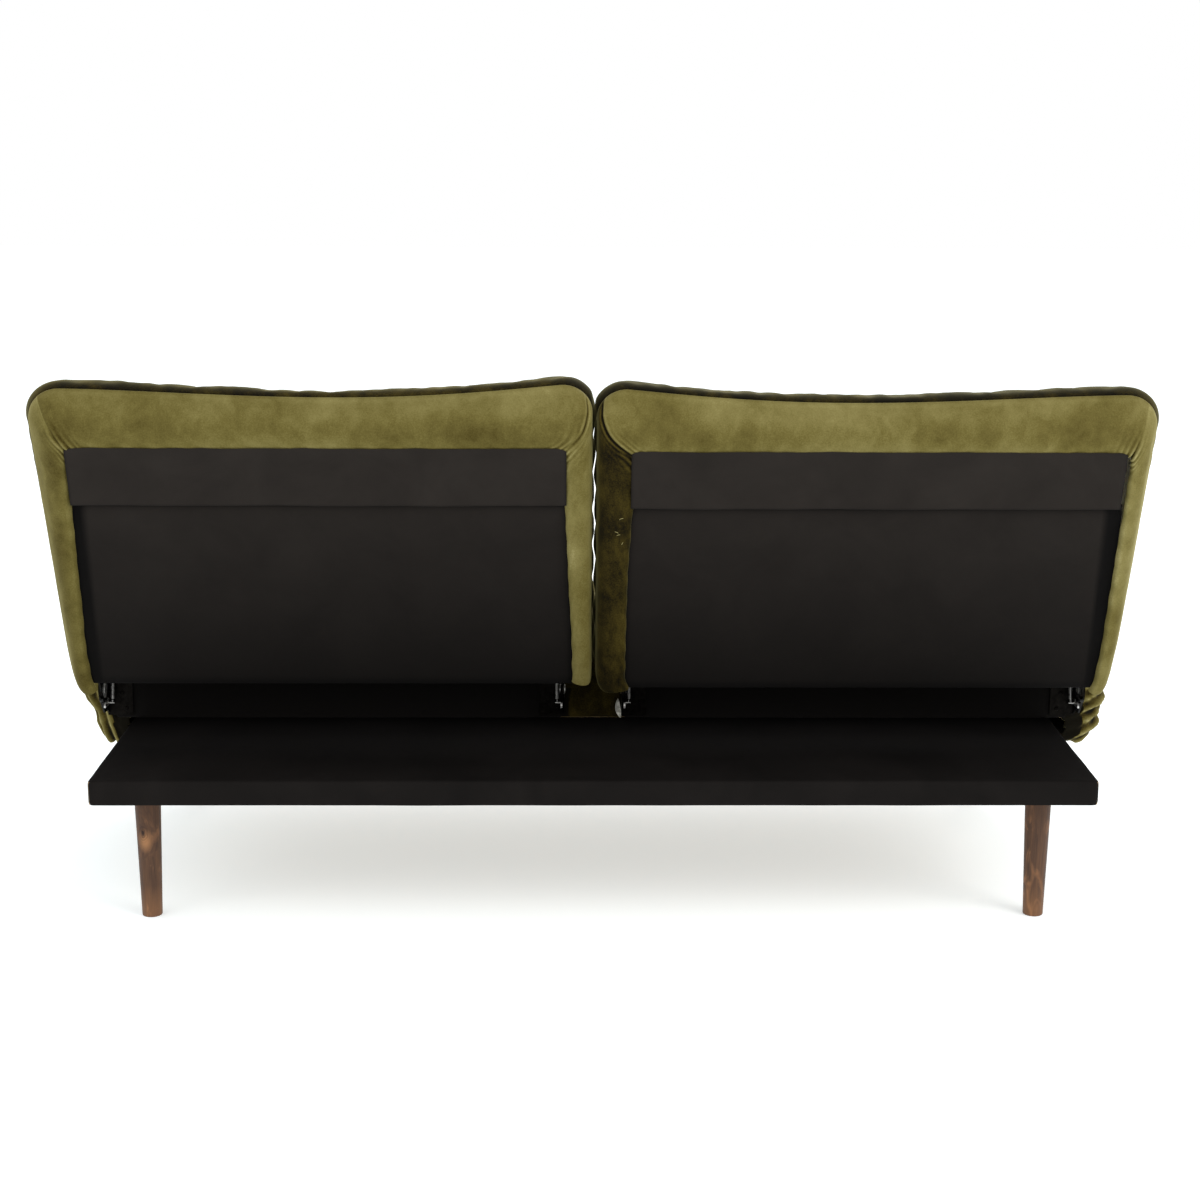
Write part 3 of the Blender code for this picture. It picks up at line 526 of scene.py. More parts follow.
for node in LEG_NODES:
    low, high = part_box(node)
    middle = (low + high) / 2
    leg = start_piece(node + "_turned", bpy.ops.mesh.primitive_cylinder_add, vertices=56,
                      radius=LEG_TOP_RADIUS, depth=LEG_TOP, location=(middle.x, middle.y, LEG_TOP / 2))
    select_faces(lambda centre, normal: normal.z < -0.9)
    taper = LEG_FOOT_RADIUS / LEG_TOP_RADIUS
    bpy.ops.transform.resize(value=(taper, taper, 1.0), center_override=(middle.x, middle.y, 0.0))
    bpy.ops.mesh.bevel(offset=0.0016, segments=4)
    select_faces(lambda centre, normal: normal.z > 0.9)
    bpy.ops.mesh.bevel(offset=LEG_TOP_BEVEL, segments=3)
    select_faces(lambda centre, normal: normal.z > 0.999)
    bpy.ops.mesh.inset(thickness=LEG_TOP_RADIUS - LEG_TOP_BEVEL - STUD_RADIUS)
    bpy.ops.mesh.extrude_region_move(TRANSFORM_OT_translate={"value": (0.0, 0.0, high.z - LEG_TOP)})
    bpy.ops.mesh.bevel(offset=0.0008, segments=2)
    end_piece([stained_wood, bright_zinc])
    for face in leg.data.polygons:
        face.material_index = int(face.center.z > LEG_TOP + 0.0005)
    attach(leg, "base")
    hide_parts(node)

# ------------------------------------------------------------ seat frame
# A softwood frame that sits on the base, with a centre beam, webs of woven elastic strap stapled over each
# half, and one slab of foam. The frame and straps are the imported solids, and the slab is made from its own.
foam = Finish("seat_foam", specular_ior_level=0.2)
cells = foam.node("TexVoronoi", {}, {"Vector": foam.place(), "Scale": 520.0}, "Distance")
foam.bump(cells, 0.5, 0.0008)
seat_foam = foam.paint(foam.colours(cells, (0.58, 0.53, 0.34), (0.80, 0.77, 0.60)), 0.95)

elastic = Finish("elastic_webbing", specular_ior_level=0.3)
rib = elastic.bands("DIAGONAL", Vector=elastic.place(), Scale=190.0, Distortion=0.3)
worn = elastic.noise(elastic.place(), 40.0, 3.0)
elastic.bump(rib, 0.5, 0.0005)
strap_colour = elastic.colours(rib * 0.6 + worn * 0.4, (0.050, 0.046, 0.042), (0.16, 0.15, 0.14))
webbing = elastic.paint(strap_colour, 0.8)

for rail in ("left", "right", "front", "rear", "centre"):
    dress("seat_rail_" + rail, pine_timber)
for half in ("left", "right"):
    dress("seat_webbing_" + half, webbing)


def foam_slab(node, name, body, thinner, narrower, front, up):
    """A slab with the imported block's outline, drawn in by shares of its size so that the cover's channels
    clear it. front is the way that the slab faces the sitter, and up runs across it."""
    slab = bpy.data.objects.new(name, frame["nodes"][node].data.copy())
    scene.collection.objects.link(slab)
    edit_all(slab, bpy.ops.mesh.remove_doubles, threshold=0.00005)
    slab.data.materials.clear()
    slab.data.materials.append(seat_foam)
    points = points_of(slab)
    sideways = Vector((1.0, 0.0, 0.0))
    for axis, share, anchor in ((front, thinner, 0.0), (up, narrower, 0.5), (sideways, narrower, 0.5)):
        along = points @ np.array(axis)
        fixed = along.min() + anchor * (along.max() - along.min())
        points = points - np.outer((along - fixed) * share, axis)
    move_points(slab, points)
    bpy.ops.object.shade_smooth_by_angle(angle=math.radians(35.0))
    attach(slab, body)
    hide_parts(node)


foam_slab("seat_foam", "seat_foam_slab", "base", thinner=0.20, narrower=0.016,
          front=Vector((0.0, 0.0, 1.0)), up=Vector((0.0, 1.0, 0.0)))

# ------------------------------------------------------------ seat cushion
# The seat's cover is sewn from olive velvet: a top panel with channels from front to back inside a plain
# frame, and a side border that hangs over the rails and is stapled under them. At the rear corners it is
# gathered and tucked in beside the base. Its pile looks lighter or darker with the way that it lies, and its
# colour also holds painted light and shade: darker seams, lit and shaded folds, and a rear face in shade.
SEAT_LOW, SEAT_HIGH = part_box("seat_cover")
SEAT_ACROSS, SEAT_ALONG = 144, 46
SEAT_CHANNELS, SEAT_FRAME_CELLS = 12, 6
SEAT_SIDE_ROWS = [  # (height, distance in at the sides and front, distance in at the rear), from the hem up
    (0.2172, 0.0500, 0.0100), (0.2150, 0.0420, 0.0020), (0.2175, 0.0352, 0.0000), (0.2355, 0.0290, 0.0000),
    (0.2575, 0.0190, 0.0000), (0.2795, 0.0080, 0.0000), (0.3000, 0.0010, 0.0000), (0.3250, 0.0000, 0.0000),
    (0.3500, 0.0015, 0.0010), (0.3680, 0.0070, 0.0085), (0.3760, 0.0120, 0.0150),
]
SEAT_SEAM_ROWS = [(0.3770, 0.0165, 0.0195), (0.3772, 0.0172, 0.0200), (0.3785, 0.0150, 0.0180)]
SEAT_TOP_ROWS = [
    (0.3820, 0.0165, 0.0190), (0.3920, 0.0300, 0.0330), (0.3980, 0.0520, 0.0560), (0.4000, 0.0850, 0.0880),
]
SEAT_CORNER = 0.052
VELVET_THICK = 0.0018
CHANNEL_RISE = 0.0075
COVER_PRESSURE = 3.0
CLOTH_STEPS = 20
REAR_PRESSED = 0.0676  # y of the rear face, which the linings hold flat
REAR_PRESSED_HALF, REAR_PRESSED_TOP = 0.842, 0.350
PATCH_HALF = 0.056  # the velvet between the two rear linings
FLANGE_IN, FLANGE_OUT = 0.097, 0.803  # the hinges' flanges lie on the rear face up to here and from here on
FULL_HEIGHTS = (0.215, 0.229, 0.242, 0.262, 0.276, 0.304, 0.330, 0.345)  # where the rear corners stand fuller
FULL_RIGHT = (0.001, 0.006, 0.0080, 0.003, 0.005, 0.010, 0.004, 0.0)
FULL_LEFT = (0.009, 0.030, 0.0330, 0.022, 0.024, 0.013, 0.004, 0.0)

VELVET_STOPS = [  # from the deepest painted shade, through the pile's own tones, to the lightest painted light
    (0.0, (0.0030, 0.0021, 0.0005)), (0.10, (0.0145, 0.0100, 0.0012)), (0.28, (0.0480, 0.0345, 0.0050)),
    (0.58, (0.1180, 0.0960, 0.0240)), (0.85, (0.1950, 0.1660, 0.0560)), (1.0, (0.2800, 0.2450, 0.1000)),
]
velvet = Finish("olive_velvet", specular_ior_level=0.08, sheen_weight=0.25, sheen_roughness=0.38)
velvet.shader.inputs["Sheen Tint"].default_value = (0.80, 0.72, 0.30, 1.0)
# One attribute brings in both the pile's own tone and the painted light and shade that each piece marks.
nap = velvet.marked("nap")
brushed = velvet.noise(velvet.place((1.0, 1.0, 1.2)), 6.0, 4.0, 0.55, 0.5)
strokes = velvet.noise(velvet.place((1.0, 1.0, 0.7)), 34.0, 4.0, 0.62, 0.4)
pile = velvet.noise(velvet.place(), 430.0, 3.0, 0.7)
tone = nap + brushed * 0.62 + strokes * 0.46 + pile * 0.42 - 0.73
velvet_colour = velvet.node("ValToRGB", {"stops": VELVET_STOPS}, {"Fac": tone}, "Color")
velvet.bump(pile * 0.5 + strokes * 1.0, 0.25, 0.0006)
olive_velvet = velvet.paint(velvet_colour, velvet.mapped(tone, 0.2, 0.9, 0.85, 0.62))


def smooth_between(rows, count):
    """More rows on a smooth curve through these ones, evenly spaced along it."""
    rows = np.array(rows, float)
    travelled = np.concatenate([[0.0], np.cumsum(np.linalg.norm(np.diff(rows, axis=0), axis=1))])
    slopes = np.gradient(rows, travelled, axis=0)
    wanted = np.linspace(0.0, travelled[-1], count)
    start = np.clip(np.searchsorted(travelled, wanted, side="right") - 1, 0, len(rows) - 2)
    span = (travelled[start + 1] - travelled[start])[:, None]
    t = (wanted - travelled[start])[:, None] / span
    first, second = rows[start], rows[start + 1]
    return ((2 * t**3 - 3 * t**2 + 1) * first + (t**3 - 2 * t**2 + t) * span * slopes[start]
            + (3 * t**2 - 2 * t**3) * second + (t**3 - t**2) * span * slopes[start + 1])


def channel_shape(along, across, frame_cells, channels):
    """(rise between 0 on a seam and 1 between seams, is it on a seam) for each point of a grid."""
    rise = np.zeros((along + 1, across + 1))
    sewn = np.zeros((along + 1, across + 1), bool)
    wide = (across - 2 * frame_cells) // channels
    for j in range(along + 1):
        for i in range(across + 1):
            into = min(i, across - i, j, along - j) - frame_cells
            if into <= 0:
                rise[j, i] = math.sqrt(min(1.0, -into / 3.0)) * 0.8
                sewn[j, i] = into == 0
                continue
            past = (i - frame_cells) % wide
            sewn[j, i] = past == 0
            crown = math.sin(math.pi * past / wide) ** 0.6
            ends = min(1.0, (min(j, along - j) - frame_cells) / 4.0)
            rise[j, i] = crown * math.sqrt(ends)
    return rise, sewn


def puff(piece, held, pressure, reach):
    """Fills a sewn cover: cloth under pressure, held at its seams. reach is how far each point may move."""
    before = points_of(piece)
    group = piece.vertex_groups.new(name="held")
    group.add([int(k) for k in np.flatnonzero(held)], 1.0, "REPLACE")
    cloth = piece.modifiers.new("cloth", "CLOTH")
    cloth.settings.quality = 4
    cloth.settings.vertex_group_mass = "held"
    cloth.settings.use_pressure = True
    cloth.settings.uniform_pressure_force = pressure
    cloth.settings.effector_weights.gravity = 0.0
    cloth.settings.shrink_min = -0.025
    cloth.collision_settings.use_collision = False
    for step in range(1, CLOTH_STEPS + 1):
        scene.frame_set(step)
    pick(piece)
    bpy.ops.object.modifier_apply(modifier="cloth")
    scene.frame_set(1)
    piece.vertex_groups.clear()
    moved = points_of(piece) - before
    far = np.linalg.norm(moved, axis=1, keepdims=True)
    move_points(piece, before + moved * np.minimum(1.0, reach[:, None] / np.maximum(far, 1e-9)))


SIDE_LEVELS = 48
seat_rows = np.concatenate([smooth_between(SEAT_SIDE_ROWS, SIDE_LEVELS), SEAT_SEAM_ROWS,
                            smooth_between(SEAT_TOP_ROWS, 7)])
seat_rings = []
for height, side_in, rear_in in seat_rows:
    near = (SEAT_LOW.x + side_in, SEAT_LOW.y + side_in)
    far = (SEAT_HIGH.x - side_in, SEAT_HIGH.y - rear_in)
    bunch = 0.25 + 0.55 * min(max((0.350 - height) / 0.07, 0.0), 1.0)
    plan = rounded_box_ring(near, far, SEAT_CORNER, SEAT_ACROSS, SEAT_ALONG, bunch)
    seat_rings.append(np.column_stack([plan, np.full(len(plan), height)]))
top_grid = patch_inside(seat_rings[-1], SEAT_ACROSS, SEAT_ALONG)
top_rise, top_sewn = channel_shape(SEAT_ALONG, SEAT_ACROSS, SEAT_FRAME_CELLS, SEAT_CHANNELS)
top_grid[:, :, 2] += CHANNEL_RISE * (top_rise - 0.8)


def beside_base(centre):
    """The rear of the border stops on top of the base, and hangs down only beside it."""
    over_base = abs(centre.x) < BASE_HIGH.x + 0.004 and centre.y > SEAT_HIGH.y - 0.03
    return over_base and centre.z < BASE_HIGH.z + 0.002


seat_cushion = loft("seat_cushion", seat_rings, top_grid, SEAT_ACROSS, SEAT_ALONG, beside_base)
ring_count, level_count = len(seat_rings[0]), len(seat_rings)
seat_levels = np.repeat(np.arange(level_count), ring_count)
inside_count = (SEAT_ACROSS - 1) * (SEAT_ALONG - 1)
sewn_top = np.concatenate([np.zeros(ring_count * level_count, bool), top_sewn[1:-1, 1:-1].ravel()])
seat_levels = np.concatenate([seat_levels, np.full(inside_count, level_count)])
in_seam = (seat_levels >= SIDE_LEVELS) & (seat_levels <= SIDE_LEVELS + 2)
puff(seat_cushion, sewn_top | in_seam | (seat_levels <= SIDE_LEVELS // 2), COVER_PRESSURE,
     np.where(seat_levels > SIDE_LEVELS + 2, 0.010, 0.004))
points, normals = points_of(seat_cushion), normals_of(seat_cushion)
on_right, from_middle, height = points[:, 0] > 0, np.abs(points[:, 0]), points[:, 2]
corner_near = limited((from_middle - 0.775) / 0.05) * limited((points[:, 1] + 0.035) / 0.07)
gather = corner_near * limited((0.340 - height) / 0.06)
round_corner = np.arctan2(points[:, 1] - 0.010, from_middle - 0.835)
steep, twist = np.where(on_right, 0.45, 1.75), np.where(on_right, 2.6, 0.9)
phase = 2 * math.pi * (steep * height / 0.034 + twist * round_corner) + 1.6 * ripple(points, 22.0, 5.0)
folds = 1.0 - 2.4 * np.abs(np.sin(phase / 2)) ** 0.7
creases = 1.0 - 2.2 * np.abs(ripple(points * (1.0, 1.0, 0.55), 52.0, 11.0))
soft = 0.0016 * ripple(points, 11.0, 1.0) + 0.0007 * ripple(points, 34.0, 2.0)
lift = soft * (seat_levels > 3) + gather * (0.0046 * folds + 0.0026 * creases)
moved = points + normals * lift[:, None]
full_right, full_left = [np.interp(height, FULL_HEIGHTS, wide) for wide in (FULL_RIGHT, FULL_LEFT)]
moved[:, 0] += np.sign(points[:, 0]) * corner_near * np.where(on_right, full_right, full_left)
moved[:, 2] -= 0.011 * corner_near * limited((0.245 - height) / 0.03)
rear_wall = (normals[:, 1] > 0.6) & (from_middle < REAR_PRESSED_HALF) & (height < REAR_PRESSED_TOP)
moved[:, 1] = np.where(rear_wall, np.minimum(moved[:, 1], REAR_PRESSED), moved[:, 1])
on_base = rear_wall & (np.abs(moved[:, 0]) < FLANGE_OUT) & (moved[:, 2] < 0.2582)
moved[:, 2] = np.where(on_base, BASE_HIGH.z + 0.0006, moved[:, 2])
move_points(seat_cushion, moved)
# Painted shade darkens the seams and the channel seams, and painted light and shade follow the crests and
# hollows of the gathered folds at the rear corners.
seat_nap_and_painted_light = 0.50 - 0.30 * in_seam - 0.25 * sewn_top + gather * (0.46 * folds + 0.30 * creases - 0.04)
# Painted shade: the rear face is painted nearly black, and the patch of velvet between the two rear linings a
# dark shade.
at_rear = (points[:, 1] > 0.050) & (from_middle < 0.827 + 0.25 * (height - 0.21)) & (height < 0.368)
rear_painted_shade = np.where(from_middle < PATCH_HALF, 0.15, -0.90)
mark(seat_cushion, "nap", np.where(at_rear, rear_painted_shade, seat_nap_and_painted_light))
make_cloth_of(seat_cushion, olive_velvet, VELVET_THICK)
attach(seat_cushion, "base")
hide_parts("seat_cover")

# ------------------------------------------------------------ seat linings
# Black non-woven cloth closes the seat: two pieces stapled up its rear rail, one on each side of the middle,
# and a strip under its overhang round the base. A small blank care tag is caught in the rear seam.
def flat_sheet(name, grid):
    """A surface through a grid of points, with its faces as they come."""
    down, over = grid.shape[:2]
    faces = [(j * over + i, j * over + i + 1, (j + 1) * over + i + 1, (j + 1) * over + i)
             for j in range(down - 1) for i in range(over - 1)]
    return new_piece(name, grid.reshape(-1, 3), faces)


def face_rear(sheet):
    """Turns a sheet's faces round if they look to the front."""
    if normals_of(sheet)[:, 1].sum() < 0:
        edit_all(sheet, bpy.ops.mesh.flip_normals)


LINING_THICK = 0.0009
REAR_CLOTH_IN, REAR_CLOTH_OUT = 0.054, 0.837
for half, side in (("left", -1), ("right", 1)):
    node = "seat_rear_lining_" + half
    low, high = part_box(node)
    across_steps = side * np.linspace(REAR_CLOTH_IN, REAR_CLOTH_OUT, 120)
    up_steps = np.linspace(BASE_HIGH.z + 0.0004, high.z, 14)
    grid = np.array([[(x, REAR_PRESSED + 0.0014, z) for x in across_steps] for z in up_steps])
    sag = ripple(grid * (1.0, 1.0, 2.0), 14.0, 6.0)
    from_flanges = np.minimum(np.abs(across_steps) - FLANGE_IN, FLANGE_OUT - np.abs(across_steps))
    grid[:, :, 1] += limited(from_flanges / 0.02) * (0.0030 + 0.0010 * sag)
    rear_lining = flat_sheet("seat_rear_cloth_" + half, grid)
    face_rear(rear_lining)
    make_cloth_of(rear_lining, black_lining, LINING_THICK)
    mark(rear_lining, "shade", np.full(len(rear_lining.data.vertices), 0.88))
    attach(rear_lining, "base")
    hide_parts(node)

TAG_FOOT, TAG_TALL, TAG_WIDE = Vector((-0.0486, 0.0760, 0.2560)), 0.0350, 0.0100
leaf = []
for t in np.linspace(0.0, 1.0, 17):
    bow = math.sin(math.pi * t)
    half = 0.5 * TAG_WIDE * math.sin(math.pi * min(0.04 + 0.92 * t, 1.0)) ** 0.85
    x, y, z = TAG_FOOT.x + 0.0045 * t + 0.0020 * bow, TAG_FOOT.y + 0.0035 * bow, TAG_FOOT.z + TAG_TALL * t
    leaf.append([(x + half * s, y + 0.0028 * s * s, z) for s in np.linspace(-1.0, 1.0, 9)])
care_tag = flat_sheet("care_tag", np.array(leaf))
tape = Finish("white_tape", specular_ior_level=0.3)
ribs = tape.bands("Z", Vector=tape.place(), Scale=480.0)
soiled = tape.noise(tape.place(), 160.0, 4.0, 0.6)
tape.bump(ribs, 0.3, 0.0002)
tape_colour = tape.colours(tape.mapped(soiled, 0.35, 0.65), (0.34, 0.33, 0.28), (0.80, 0.79, 0.71))
white_tape = tape.paint(tape_colour, 0.8)
make_cloth_of(care_tag, white_tape, 0.0004)
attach(care_tag, "base")

STRIP_LOW, STRIP_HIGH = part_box("seat_dust_cover")
STRIP_WIDTH, STRIP_CORNER, STRIP_ACROSS, STRIP_ALONG = 0.052, 0.050, 120, 40
CLEAR_OF_BASE = 0.002
outer_plan = rounded_box_ring(STRIP_LOW[:2], STRIP_HIGH[:2], STRIP_CORNER, STRIP_ACROSS, STRIP_ALONG, 0.3)
inner_plan = rounded_box_ring((BASE_LOW.x - CLEAR_OF_BASE, BASE_LOW.y - CLEAR_OF_BASE),
                              (BASE_HIGH.x + CLEAR_OF_BASE, STRIP_HIGH.y), CLEAR_OF_BASE,
                              STRIP_ACROSS, STRIP_ALONG, 0.3)
left_side = np.arange(len(outer_plan) - STRIP_ALONG, len(outer_plan))
round_front = np.concatenate([left_side, np.arange(STRIP_ACROSS + STRIP_ALONG + 1)])
strip_rows = []
for t in np.linspace(0.0, 1.0, 7):
    plan = outer_plan[round_front] * (1 - t) + inner_plan[round_front] * t
    height = STRIP_LOW.z + 0.0006 + 0.0012 * t * (1 - t)
    strip_rows.append(np.column_stack([plan, np.full(len(plan), height)]))
under_strip = flat_sheet("seat_under_strip", np.array(strip_rows))
edit_all(under_strip, bpy.ops.mesh.flip_normals)
make_cloth_of(under_strip, black_lining, LINING_THICK)
mark(under_strip, "shade", np.full(len(under_strip.data.vertices), 0.2))
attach(under_strip, "base")
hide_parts("seat_dust_cover")

# ------------------------------------------------------------ back cushions
# Each back is a pine frame with woven straps and a foam slab in front. Its front panel is olive velvet,
# channelled like the seat, and rolls over the foam to a seam that runs all round the edge. From that seam a
# border strip with mitred upper corners turns over to the rear of the frame, where it is stapled.
RECLINE = math.radians(18.0)
AXIS_Y, AXIS_Z = frame["joints"][0]["pos_m"][1:]
INNER, OUTER_LOW, OUTER_HIGH = 0.003, 0.904, 0.920
BACK_LOW, BACK_HIGH = 0.028, 0.5735
CORNER_LOW, CORNER_OUTER, CORNER_INNER, CORNER_LEAST = 0.022, 0.065, 0.050, 0.010
TOP_DIP, TOP_DROP = 0.0195, 0.0085
BACK_ACROSS, BACK_ALONG = 96, 56
BACK_CHANNELS, BACK_FRAME_CELLS = 6, 9
SEAM_TUCK = 0.0042
PANEL_ROWS = [  # out to the rear; in at the inner side, outer foot, outer head, top, bottom; dip of the top
    (-0.0016, 0.0006, 0.0070, 0.0100, 0.0022, 0.0020, TOP_DIP),
    (-0.0120, -0.0045, 0.0030, 0.0045, -0.0006, 0.0045, TOP_DIP),
    (-0.0280, -0.0048, 0.0, 0.0, 0.0032, 0.0090, TOP_DIP),
    (-0.0500, -0.0050, 0.0030, 0.0030, 0.0140, 0.0180, TOP_DIP),
    (-0.0660, 0.0030, 0.0120, 0.0120, 0.0280, 0.0340, TOP_DIP),
    (-0.0760, 0.0200, 0.0260, 0.0260, 0.0420, 0.0530, TOP_DIP),
    (-0.0800, 0.0450, 0.0450, 0.0450, 0.0610, 0.0770, TOP_DIP),
]
BORDER_ROWS = [
    (0.0016, 0.0008, 0.0075, 0.0108, 0.0026, 0.0012, TOP_DIP),
    (0.0090, 0.0, 0.0080, 0.0125, 0.0065, 0.0, 0.0185),
    (0.0180, 0.0008, 0.0120, 0.0195, 0.0150, 0.0, 0.0160),
    (0.0350, 0.0040, 0.0205, 0.0370, 0.0385, 0.0, 0.0100),
    (0.0445, 0.0140, 0.0300, 0.0550, 0.0640, 0.0010, 0.0050),
    (0.0472, 0.0290, 0.0390, 0.0680, 0.0830, 0.0030, 0.0015),
    (0.0468, 0.0440, 0.0455, 0.0775, 0.0970, 0.0060, 0.0),
]
BORDER_TURNED_IN = [
    (0.0440, 0.0480, 0.0490, 0.0810, 0.1010, 0.0070, 0.0),
    (0.0385, 0.0495, 0.0510, 0.0830, 0.1030, 0.0080, 0.0),
]
PARTING_SWAY, PARTING_WAVE, PARTING_GAP = 0.0032, 0.066, 0.0  # the backs touch along a wave round their axis
BORDER_END_RADIUS = {"back_right": 0.003, "back_left": CORNER_LOW}
BORDER_END_DROP = {"back_right": -0.005, "back_left": 0.014}
INNER_LEAN = {  # heights, and how much further out than in the rows the border and the lining end there
    "back_right": ((0.0, 0.10, 0.38, 0.50), (-0.0160, -0.0160, -0.0030, -0.0030)),
    "back_left": ((0.0, 0.25, 0.36, 0.385), (0.0010, 0.0030, 0.0095, 0.0125)),
}
BORDER_OUTER_SHARE = {  # how much of the rows' outer width each border keeps, at the foot and at the head
    "back_right": (0.92, 0.90),
    "back_left": (0.86, 0.66),
}
TOP_RISE = {"back_right": 0.0078, "back_left": 0.0}
TAIL_DROP, TAIL_LENGTH = 0.021, 0.090
BORDER_PAINTED_LIGHT = {  # painted light and shade on each run of each back's border, outer, top and inner, over its pile's tone
    "back_right": (0.47, 0.55, 0.66),
    "back_left": (0.68, 0.60, 0.10),
}


def on_back(side, plan, out):
    """Points across and up a back, at a distance out to its rear, as they stand in the room."""
    out = np.broadcast_to(out, plan.shape[:-1])
    up = plan[..., 1]
    return np.stack([side * plan[..., 0], AXIS_Y + out * math.cos(RECLINE) + up * math.sin(RECLINE),
                     AXIS_Z - out * math.sin(RECLINE) + up * math.cos(RECLINE)], axis=-1)


def back_outline(row, bunch, rise, end_radius=CORNER_LOW, tighter=0.0):
    """Outline of a back for one row: flared outside, rounded corners and a top edge that sinks in the middle.
    rise lifts the top edge, end_radius rounds the foot of the inner side, and tighter is the share that the
    inner top corner's radius loses."""
    in_inner, in_foot, in_head, in_top, in_bottom, dip = row[1:]
    inner, foot, head = INNER + in_inner, OUTER_LOW - in_foot, OUTER_HIGH - in_head
    low, high = BACK_LOW + in_bottom, BACK_HIGH + rise - in_top
    drop = TOP_DROP * dip / TOP_DIP
    outer_radius = max(CORNER_OUTER - in_head, CORNER_LEAST)
    inner_radius = max((CORNER_INNER - in_inner) * (1 - tighter), CORNER_LEAST)
    arcs = [corner_arc((inner + end_radius, low + end_radius), end_radius, 180),
            corner_arc((foot - CORNER_LOW, low + CORNER_LOW), CORNER_LOW, 270),
            corner_arc((head - outer_radius, high - drop - outer_radius), outer_radius, 0),
            corner_arc((inner + inner_radius, high - inner_radius), inner_radius, 90)]
    share = np.linspace(0.0, 1.0, 42)[1:-1]
    from_inner = 1.0 - share
    top_edge = np.column_stack([
        (head - outer_radius) * from_inner + (inner + inner_radius) * share,
        high - dip * np.sin(math.pi * from_inner**0.8) ** 1.3 - drop * from_inner,
    ])
    nothing = np.empty((0, 2))
    return four_sides(arcs, [nothing, nothing, top_edge, nothing], BACK_ACROSS, BACK_ALONG, bunch)


def grown(row, by):
    """The row with its outline this much further in all round."""
    return np.concatenate([row[:1], np.asarray(row[1:6]) + by, row[6:]])


def front_panel(back, side):
    rows = smooth_between(PANEL_ROWS, 14)
    rows = np.concatenate([[grown(rows[0], SEAM_TUCK), grown(rows[0], 0.4 * SEAM_TUCK)], rows])
    rows[0][0], rows[1][0] = -0.0002, -0.0006
    plans = [back_outline(row, 0.0, TOP_RISE[back]) for row in rows]
    rings = [on_back(side, plan, row[0]) for plan, row in zip(plans, rows)]
    plan_grid = patch_inside(plans[-1], BACK_ACROSS, BACK_ALONG)
    rise, sewn = channel_shape(BACK_ALONG, BACK_ACROSS, BACK_FRAME_CELLS, BACK_CHANNELS)
    grid = on_back(side, plan_grid, PANEL_ROWS[-1][0] - CHANNEL_RISE * (rise - 0.8))
    panel = loft(back + "_front_panel", rings, grid, BACK_ACROSS, BACK_ALONG)
    edit_all(panel, bpy.ops.mesh.normals_make_consistent, inside=False)
    count, levels = len(plans[0]), len(rings)
    inside_count = (BACK_ACROSS - 1) * (BACK_ALONG - 1)
    level = np.concatenate([np.repeat(np.arange(levels), count), np.full(inside_count, levels)])
    up = np.concatenate([np.concatenate([plan[:, 1] for plan in plans]), plan_grid[1:-1, 1:-1, 1].ravel()])
    on_seam = np.concatenate([np.zeros(count * levels, bool), sewn[1:-1, 1:-1].ravel()])
    puff(panel, on_seam | (level <= 3), COVER_PRESSURE, 0.009 * np.clip((up - 0.05) / 0.08, 0.1, 1.0))
    points, normals = points_of(panel), normals_of(panel)
    soft = 0.0014 * ripple(points, 10.0, 2.0 + side) + 0.0006 * ripple(points, 31.0, 3.0 + side)
    points = points + normals * (soft * (level > 3) * np.clip((up - 0.04) / 0.06, 0.2, 1.0))[:, None]
    from_axis = np.hypot(points[:, 1] - AXIS_Y, points[:, 2] - AXIS_Z)
    parting = PARTING_SWAY * np.sin(2 * math.pi * from_axis / PARTING_WAVE)
    points[:, 0] = side * np.maximum(side * points[:, 0], side * parting + PARTING_GAP)
    move_points(panel, points)
    # Painted light and shade: the face lighter than the roll round its edge, the channel seams darker, and the
    # cloth in the parting between the backs painted nearly black.
    towards_face = limited((level - 5) / 8)
    parting_shade = limited((0.006 - side * points[:, 0]) / 0.003)
    nap = 0.20 + 0.32 * towards_face - 0.15 * limited((9 - level) / 6) - 0.25 * on_seam
    mark(panel, "nap", nap - 0.8 * parting_shade)
    return panel


def bell(distance, width):
    return np.exp(-((distance / width) ** 2))


